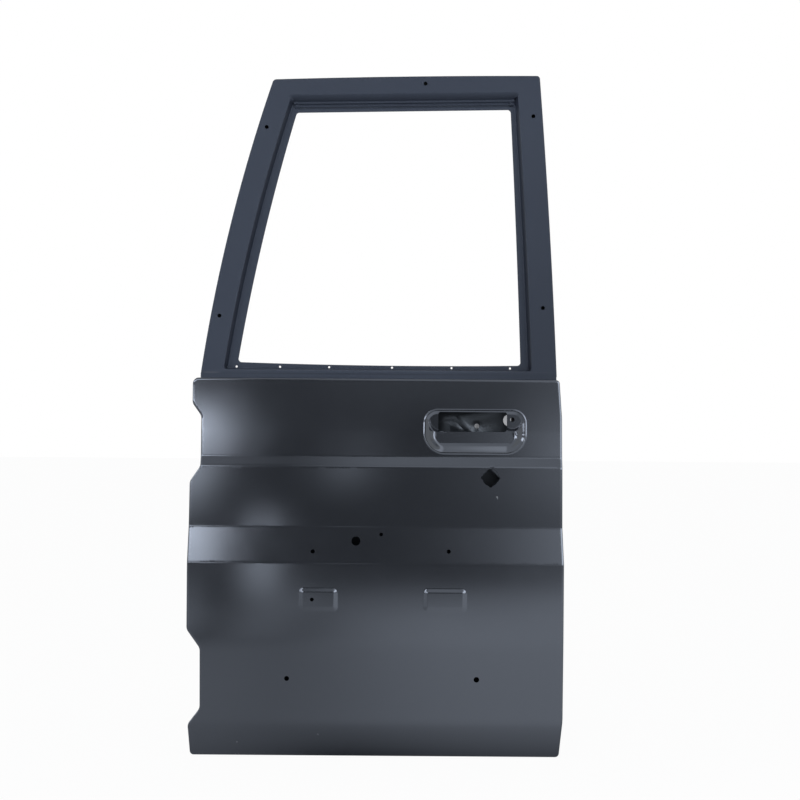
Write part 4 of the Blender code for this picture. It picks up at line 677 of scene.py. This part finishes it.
def make_frame_outer():
    """Outer half of the window frame: a return and a bend carried round its outside, a flat face,
    a step carried round the rebate, and the flat glass flange."""
    outside = frame_outline()
    rebate = ring_of_four(REBATE, REBATE_BOWS, OPENING_RADIUS)
    opening = ring_of_four(OPENING, OPENING_BOWS, OPENING_RADIUS)
    press = Pressing()
    face_normal = np.array([0.0, -1.0, FRAME_LEAN])

    def line(points, back):
        return up(points, frame_plane(*points.T) + back)

    rows = [line(outside.inset(0.0), FRAME_RETURN), line(outside.inset(0.0), RETURN_ROW)]
    for turn in np.linspace(pi / 2, 0, 7):
        reach = FRAME_BEND * (1 - sin(turn))
        rows.append(line(outside.inset(reach), FRAME_BEND * (1 - cos(turn))))
    outer = press.sweep(rows, last_normal=face_normal)
    faces_down = rebate.inward[:, 1] < TOP_RAIL_FACING
    top = ease((rebate.points[:, 1] - TOP_RAIL_Z) / TOP_RAIL_BLEND) * faces_down
    foot = ease((rebate.inward[:, 1] - FOOT_FACING) / FOOT_BLEND)
    side = 1 - top - foot
    steps = []
    for at_side, at_foot, at_top in zip(SIDE_STEP, FOOT_STEP, TOP_STEP):
        inset, back = [a * side + b * foot + c * top for a, b, c in zip(at_side, at_foot, at_top)]
        steps.append(line(rebate.points + rebate.inward * inset[:, None], back))
    step = press.sweep(steps, first_normal=face_normal, last_normal=face_normal)
    holes = [circle(x, z, FRAME_HOLE, 20) for x, z in FRAME_HOLES]
    border, window = outside.inset(FRAME_BEND), steps[0][:, [0, 2]]
    seeds = thinned(grid_seeds((-0.03, 0.62), (0.65, 1.23), 0.012),
                    np.concatenate([border, window] + holes), 0.003)
    places, triangles, loops = blank([border, window] + holes, seeds)
    first = press.add(up(places, frame_plane(*places.T)), np.tile(face_normal, (len(places), 1)))[0]
    press.faces.append(triangles + first)
    press.band(outer[:-1] + [loops[0] + first])
    flange_edge, flange_start = opening.points, steps[-1][:, [0, 2]]
    punched = [circle(x, z, FLANGE_HOLE, 16) for x, z in FLANGE_HOLES]
    places, triangles, flange = blank([flange_start, flange_edge] + punched, np.empty((0, 2)))
    first_flange = press.add(line(places, REBATE_DEPTH), np.tile(face_normal, (len(places), 1)))[0]
    press.faces.append(triangles + first_flange)
    press.band([loops[1] + first] + step[1:-1] + [flange[0] + first_flange])
    press.edges = [outer[0]] + [(loop + first)[::-1] for loop in loops[2:]]
    press.edges += [(loop + first_flange)[::-1] for loop in flange[1:]]
    piece = press.solid("frame_outer_panel", FRAME_GAUGE)
    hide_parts("window_frame_outer")
    return piece


# Plugs

def make_plug(name, x, z, radius, rear):
    """A cap pressed through a hole of the inner panel: a profile of radius and depth, turned once
    round its axis, and closed at both poles."""
    front, back = rear - PANEL_GAUGE - 0.0006, rear + 0.0003
    profile = np.array([(0.0, front - 0.0002), (0.6 * radius, front), (radius - 0.0010, front),
                        (radius - 0.0004, front + 0.0003), (radius - 0.0003, back),
                        (radius + 0.0016, back), (radius + 0.0018, back + 0.0006),
                        (radius + 0.0012, back + 0.0012), (0.0, back + 0.0012)])
    turn = 2 * pi * np.arange(PLUG_SIDES) / PLUG_SIDES
    rings = np.stack([x + profile[1:-1, :1] * np.cos(turn), profile[1:-1, 1:] + 0 * turn,
                      z + profile[1:-1, :1] * np.sin(turn)], 2).reshape(-1, 3)
    poles = np.array([(x, profile[0, 1], z), (x, profile[-1, 1], z)])
    index = np.arange(len(rings)).reshape(-1, PLUG_SIDES)
    ahead = np.roll(index, -1, 1)
    quads = np.stack([index[:-1], ahead[:-1], ahead[1:], index[1:]], 2).reshape(-1, 4)
    first, last = len(rings), len(rings) + 1
    caps = [(first, b, a) for a, b in zip(index[0], ahead[0])]
    caps += [(last, a, b) for a, b in zip(index[-1], ahead[-1])]
    mesh = bpy.data.meshes.new(name)
    mesh.from_pydata((np.concatenate([rings, poles]) - DOOR_ORIGIN).tolist(), [],
                     quads[:, ::-1].tolist() + [(a, c, b) for a, b, c in caps])
    mesh.polygons.foreach_set("use_smooth", np.ones(len(mesh.polygons), bool))
    piece = bpy.data.objects.new(name, mesh)
    bpy.context.scene.collection.objects.link(piece)
    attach(piece, "root")
    return piece


# Materials

class Finish:
    """A node material on object coordinates, written from left to right."""

    def __init__(self, name, colour, roughness, ior=1.5):
        self.material = bpy.data.materials.new(name)
        self.material.use_nodes = True
        self.tree = self.material.node_tree
        self.shader = self.tree.nodes["Principled BSDF"]
        self.shader.inputs["Base Color"].default_value = (*colour, 1)
        self.shader.inputs["Roughness"].default_value = roughness
        self.shader.inputs["IOR"].default_value = ior
        self.material.diffuse_color = (*colour, 1)
        self.place = self.tree.nodes.new("ShaderNodeTexCoord").outputs["Object"]

    def node(self, kind, **inputs):
        """A node with its inputs set or linked; underscores stand for spaces."""
        made = self.tree.nodes.new(kind)
        for name, value in inputs.items():
            socket = made.inputs[name.replace("_", " ")]
            if isinstance(value, bpy.types.NodeSocket):
                self.tree.links.new(value, socket)
            else:
                socket.default_value = value
        return made

    def noise(self, scale, detail=3.0, rough=0.55):
        """Noise on the object's own coordinates."""
        return self.node("ShaderNodeTexNoise", Vector=self.place, Scale=scale, Detail=detail,
                         Roughness=rough).outputs["Fac"]

    def spot(self, x, z, width, height, edge, share):
        """Strength of an oval patch of colour round a place on the door lines, used for marks and for
        painted shade: full up to its edge share of the half width and height, and none from their end."""
        shift = self.node("ShaderNodeVectorMath", Vector=self.place)
        shift.operation = 'SUBTRACT'
        shift.inputs[1].default_value = (x, 0, z - DOOR_ORIGIN[2])
        scaled = self.node("ShaderNodeVectorMath", Vector=shift.outputs[0])
        scaled.operation = 'MULTIPLY'
        scaled.inputs[1].default_value = (1 / width, 0, 1 / height)
        reach = self.node("ShaderNodeVectorMath", Vector=scaled.outputs[0])
        reach.operation = 'LENGTH'
        return self.ramp(reach.outputs["Value"], edge, 1.0, share, 0.0)

    def ramp(self, value, low, high, to_low, to_high):
        """A value range mapped to another."""
        made = self.node("ShaderNodeMapRange", Value=value)
        for name, number in (("From Min", low), ("From Max", high), ("To Min", to_low),
                             ("To Max", to_high)):
            made.inputs[name].default_value = number
        return made.outputs["Result"]

    def blend(self, factor, first, second):
        """A colour between two."""
        made = self.tree.nodes.new("ShaderNodeMix")
        made.data_type = 'RGBA'
        for index, value in ((0, factor), (6, first), (7, second)):
            if isinstance(value, bpy.types.NodeSocket):
                self.tree.links.new(value, made.inputs[index])
            else:
                made.inputs[index].default_value = value if index == 0 else (*value, 1)
        return made.outputs[2]

    def set(self, name, value):
        """Links a value to the shader."""
        self.tree.links.new(value, self.shader.inputs[name])

    def bump(self, height, strength, distance):
        """Bump from a height."""
        made = self.node("ShaderNodeBump", Height=height, Strength=strength, Distance=distance)
        self.set("Normal", made.outputs["Normal"])


def electrocoat(name, colour, dust, roughness, spread, ior=1.5, peel=0.00002, tint=(1, 1, 1),
                marks_and_shade=()):
    """Dipped paint: slow changes of tone, a film of dust, uneven gloss, a fine peel, and marks and
    painted shade laid over the tone.
    """
    finish = Finish(name, colour, roughness, ior)
    finish.shader.inputs["Specular Tint"].default_value = (*tint, 1)
    cloud = finish.ramp(finish.noise(5.0, 4.0), 0.35, 0.75, 0.0, 1.0)
    speck = finish.ramp(finish.noise(900.0, 2.0), 0.62, 0.80, 0.0, 0.5)
    film = finish.node("ShaderNodeMath", Value=cloud).outputs[0]
    film.node.operation = 'ADD'
    finish.tree.links.new(speck, film.node.inputs[1])
    tone = finish.blend(film, colour, dust)
    for tone_patch in marks_and_shade:
        tone = finish.blend(finish.spot(*tone_patch[:6]), tone, tone_patch[6])
    finish.set("Base Color", tone)
    finish.set("Roughness", finish.ramp(finish.noise(14.0, 5.0), 0.3, 0.7, roughness - spread,
                                        roughness + spread))
    finish.bump(finish.noise(420.0, 2.0), 0.4, peel)
    return finish.material


def dress(piece, material):
    """Gives a piece or node one material."""
    piece.data.materials.clear()
    piece.data.materials.append(material)


def smooth_facets():
    """A node group that joins a node's loose facets and shades them smooth up to 35 degrees."""
    group = bpy.data.node_groups.new("smooth_facets", "GeometryNodeTree")
    group.interface.new_socket("Geometry", in_out='INPUT', socket_type='NodeSocketGeometry')
    group.interface.new_socket("Geometry", in_out='OUTPUT', socket_type='NodeSocketGeometry')
    kinds = ("NodeGroupInput", "GeometryNodeMergeByDistance", "GeometryNodeSetShadeSmooth",
             "GeometryNodeSetShadeSmooth", "NodeGroupOutput")
    chain = [group.nodes.new(kind) for kind in kinds]
    for first, second in zip(chain, chain[1:]):
        group.links.new(first.outputs[0], second.inputs["Geometry"])
    chain[1].inputs["Distance"].default_value = FACET_JOIN
    chain[3].domain = 'EDGE'
    chain[3].inputs["Shade Smooth"].default_value = False
    angle = group.nodes.new("GeometryNodeInputMeshEdgeAngle")
    sharp = group.nodes.new("FunctionNodeCompare")
    sharp.operation = 'GREATER_THAN'
    sharp.inputs["B"].default_value = SHARP_ANGLE
    group.links.new(angle.outputs["Unsigned Angle"], sharp.inputs["A"])
    group.links.new(sharp.outputs["Result"], chain[3].inputs["Selection"])
    return group


# Stage

def make_camera():
    """A camera level with the door's middle, rolled as the photograph is."""
    data = bpy.data.cameras.new("door_camera")
    data.sensor_width = 36.0
    data.lens = CAMERA_LENS
    camera = bpy.data.objects.new("door_camera", data)
    camera.location = CAMERA_PLACE
    camera.rotation_euler = (radians(90), CAMERA_ROLL, 0)
    bpy.context.scene.collection.objects.link(camera)
    bpy.context.scene.camera = camera


def plain(name, colour, roughness):
    """A material of one colour for the studio."""
    material = bpy.data.materials.new(name)
    material.use_nodes = True
    shader = material.node_tree.nodes["Principled BSDF"]
    shader.inputs["Base Color"].default_value = (*colour, 1)
    shader.inputs["Roughness"].default_value = roughness
    return material


def make_floor():
    """A pale floor that reads white to the camera and in reflections, and keeps the shadow."""
    level, reach = SOLID_LOW[2] - 0.0010, 14.0
    data = bpy.data.meshes.new("studio_floor")
    data.from_pydata([(-reach, -reach, level), (reach, -reach, level), (reach, reach, level),
                      (-reach, reach, level)], [], [(0, 1, 2, 3)])
    floor = bpy.data.objects.new("studio_floor", data)
    bpy.context.scene.collection.objects.link(floor)
    material = plain("studio_floor", (0.85, 0.85, 0.85), 0.9)
    tree = material.node_tree
    path = tree.nodes.new("ShaderNodeLightPath")
    seen = tree.nodes.new("ShaderNodeMath")
    seen.operation = 'MAXIMUM'
    tree.links.new(path.outputs["Is Camera Ray"], seen.inputs[0])
    tree.links.new(path.outputs["Is Glossy Ray"], seen.inputs[1])
    share = tree.nodes.new("ShaderNodeMath")
    share.operation = 'MULTIPLY'
    share.inputs[1].default_value = 0.95
    tree.links.new(seen.outputs[0], share.inputs[0])
    glow = tree.nodes.new("ShaderNodeEmission")
    mix = tree.nodes.new("ShaderNodeMixShader")
    tree.links.new(share.outputs[0], mix.inputs[0])
    tree.links.new(tree.nodes["Principled BSDF"].outputs[0], mix.inputs[1])
    tree.links.new(glow.outputs[0], mix.inputs[2])
    tree.links.new(mix.outputs[0], tree.nodes["Material Output"].inputs["Surface"])
    data.materials.append(material)


def make_world():
    """White to the camera and in reflections, with a plain level of light on the object."""
    world = bpy.data.worlds.new("studio")
    bpy.context.scene.world = world
    world.use_nodes = True
    tree = world.node_tree
    path = tree.nodes.new("ShaderNodeLightPath")
    seen = path.outputs["Is Camera Ray"]
    for name in ("Is Glossy Ray", "Is Transmission Ray"):
        either = tree.nodes.new("ShaderNodeMath")
        either.operation = 'MAXIMUM'
        tree.links.new(seen, either.inputs[0])
        tree.links.new(path.outputs[name], either.inputs[1])
        seen = either.outputs[0]
    lit = tree.nodes["Background"]
    lit.inputs["Color"].default_value = (0.92, 0.96, 1.0, 1)
    lit.inputs["Strength"].default_value = 0.60
    white = tree.nodes.new("ShaderNodeBackground")
    white.inputs["Color"].default_value = (1, 1, 1, 1)
    mix = tree.nodes.new("ShaderNodeMixShader")
    tree.links.new(seen, mix.inputs[0])
    tree.links.new(lit.outputs[0], mix.inputs[1])
    tree.links.new(white.outputs[0], mix.inputs[2])
    tree.links.new(mix.outputs[0], tree.nodes["World Output"].inputs["Surface"])


def window_glow(across, up, windows):
    """Brightness of soft-edged windows: each is its level times a rise and a fall across and
    upwards, and a rise is one half of one plus the hyperbolic tangent of the distance from the
    edge over twice its softness."""
    glow = np.zeros_like(across)
    for left, right, soft_across, foot, top, soft_up, level in windows:
        shape = level
        for value, low, high, soft in ((across, left, right, soft_across), (up, foot, top, soft_up)):
            shape = shape * 0.25 * (1 + np.tanh((value - low) / (2 * soft))) * (
                1 + np.tanh((high - value) / (2 * soft)))
        glow += shape
    return glow


def make_screen(name, places, glow, tint=(0.96, 0.98, 1.04)):
    """A sheet of the studio that only reflections see: a grid of places with their brightness."""
    rows, columns = glow.shape
    index = np.arange(rows * columns).reshape(rows, columns)
    faces = np.stack([index[:-1, :-1], index[:-1, 1:], index[1:, 1:], index[1:, :-1]], 2).reshape(-1, 4)
    data = bpy.data.meshes.new(name)
    data.from_pydata(places.reshape(-1, 3).tolist(), [], faces.tolist())
    shade = data.attributes.new("glow", 'FLOAT', 'POINT')
    shade.data.foreach_set("value", glow.ravel().astype(np.float32))
    screen = bpy.data.objects.new(name, data)
    bpy.context.scene.collection.objects.link(screen)
    material = bpy.data.materials.new(name)
    material.use_nodes = True
    tree = material.node_tree
    reading = tree.nodes.new("ShaderNodeAttribute")
    reading.attribute_name = "glow"
    light = tree.nodes.new("ShaderNodeEmission")
    light.inputs["Color"].default_value = (*tint, 1)
    tree.links.new(reading.outputs["Fac"], light.inputs["Strength"])
    tree.links.new(light.outputs[0], tree.nodes["Material Output"].inputs["Surface"])
    data.materials.append(material)
    screen.visible_camera = screen.visible_diffuse = screen.visible_shadow = False


def make_far_screen():
    """The studio beyond the camera: a dim curved wall with soft windows at the sides, in degrees
    right of the camera and above the level."""
    azimuth, elevation = np.meshgrid(np.linspace(-75, 60, 406), np.linspace(-2.4, 84, 260))
    glow = FAR_LEVEL + window_glow(azimuth, elevation, FAR_WINDOWS)
    turn, rise = np.radians(azimuth), np.radians(elevation)
    places = 12.0 * np.stack([np.sin(turn) * np.cos(rise), -np.cos(turn) * np.cos(rise),
                              np.sin(rise)], 2)
    make_screen("far_screen", places + np.array([0.339, 0, 0]), glow)


def make_near_screen():
    """A low dark screen between the camera and the door, in metres."""
    x, z = np.meshgrid(np.linspace(-4.5, 2.5, 701), np.linspace(SOLID_LOW[2], -0.02, 61))
    glow = NEAR_LEVEL + window_glow(x, z, NEAR_WINDOWS)
    make_screen("near_screen", np.stack([x, np.full_like(x, -2.0), z], 2), glow)


def make_floor_screen():
    """A sheet on the floor in front of the door, in metres."""
    x, y = np.meshgrid(np.linspace(-4.5, 2.5, 351), np.linspace(-1.99, 0.3, 115))
    glow = FLOOR_LEVEL + window_glow(x, y, FLOOR_WINDOWS)
    make_screen("floor_screen", np.stack([x, y, np.full_like(x, SOLID_LOW[2] - 0.0006)], 2), glow)


def make_lamp(name, place, turn, size, radiance, colour):
    """A soft rectangular lamp that reflections don't see; its power follows from its brightness."""
    data = bpy.data.lights.new(name, 'AREA')
    data.shape = 'RECTANGLE'
    data.size, data.size_y = size
    data.energy = radiance * pi * size[0] * size[1]
    data.color = colour
    lamp = bpy.data.objects.new(name, data)
    lamp.location = place
    lamp.rotation_euler = [radians(angle) for angle in turn]
    lamp.visible_camera = lamp.visible_glossy = False
    bpy.context.scene.collection.objects.link(lamp)


skin = make_skin()
frame_outer = make_frame_outer()
dish_plug = make_plug("dish_plug", *DISH_PLUG)
sight_plug = make_plug("sight_plug", *SIGHT_PLUG)

skin_paint = electrocoat("skin_electrocoat", (0.0062, 0.0070, 0.0092), (0.0092, 0.0102, 0.0128),
                         0.09, 0.015, 1.84, tint=(0.80, 0.88, 1.0), marks_and_shade=SKIN_MARKS)
frame_paint = electrocoat("frame_electrocoat", (0.0185, 0.0235, 0.0385), (0.0215, 0.0270, 0.0420),
                          0.50, 0.05, 1.35, tint=(0.80, 0.90, 1.0), marks_and_shade=FRAME_MARKS_AND_SHADE)
panel_paint = electrocoat("panel_electrocoat", (0.0050, 0.0058, 0.0080), (0.0075, 0.0085, 0.0110),
                          0.34, 0.03, 1.5, tint=(0.80, 0.90, 1.0))
bracket_paint = electrocoat("bracket_electrocoat", (0.018, 0.020, 0.025), (0.030, 0.032, 0.038),
                            0.46, 0.06)
mastic = electrocoat("mastic", (0.012, 0.012, 0.013), (0.02, 0.02, 0.02), 0.80, 0.05)
dish_plastic = electrocoat("grey_plastic", (0.34, 0.34, 0.35), (0.38, 0.38, 0.39), 0.5, 0.05)
sight_plastic = electrocoat("clear_plastic", (0.38, 0.39, 0.41), (0.42, 0.43, 0.45), 0.35, 0.05,
                            marks_and_shade=SIGHT_PAINTED_SHADOW)
sight_shader = sight_plastic.node_tree.nodes["Principled BSDF"]
sight_shader.inputs["Transmission Weight"].default_value = 1.0
dress(dish_plug, dish_plastic)
dress(sight_plug, sight_plastic)
dress(skin, skin_paint)
dress(frame_outer, frame_paint)
paint_of = {"belt_rail": frame_paint, "window_frame_inner": panel_paint, "inner_panel": panel_paint,
            "lock_plate": panel_paint}
facets = smooth_facets()
for name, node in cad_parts.items():
    node.modifiers.new("smooth_facets", 'NODES').node_group = facets
    dress(node, mastic if name.startswith("mastic") else paint_of.get(name, bracket_paint))

bpy.context.scene.view_settings.view_transform = 'Standard'
make_camera()
make_floor()
make_world()
make_far_screen()
make_near_screen()
make_floor_screen()
make_lamp("front_lamp", (-0.3, -4.6, 2.4), (63, 0, -8), (2.4, 2.0), 5.0, (0.96, 0.98, 1.0))
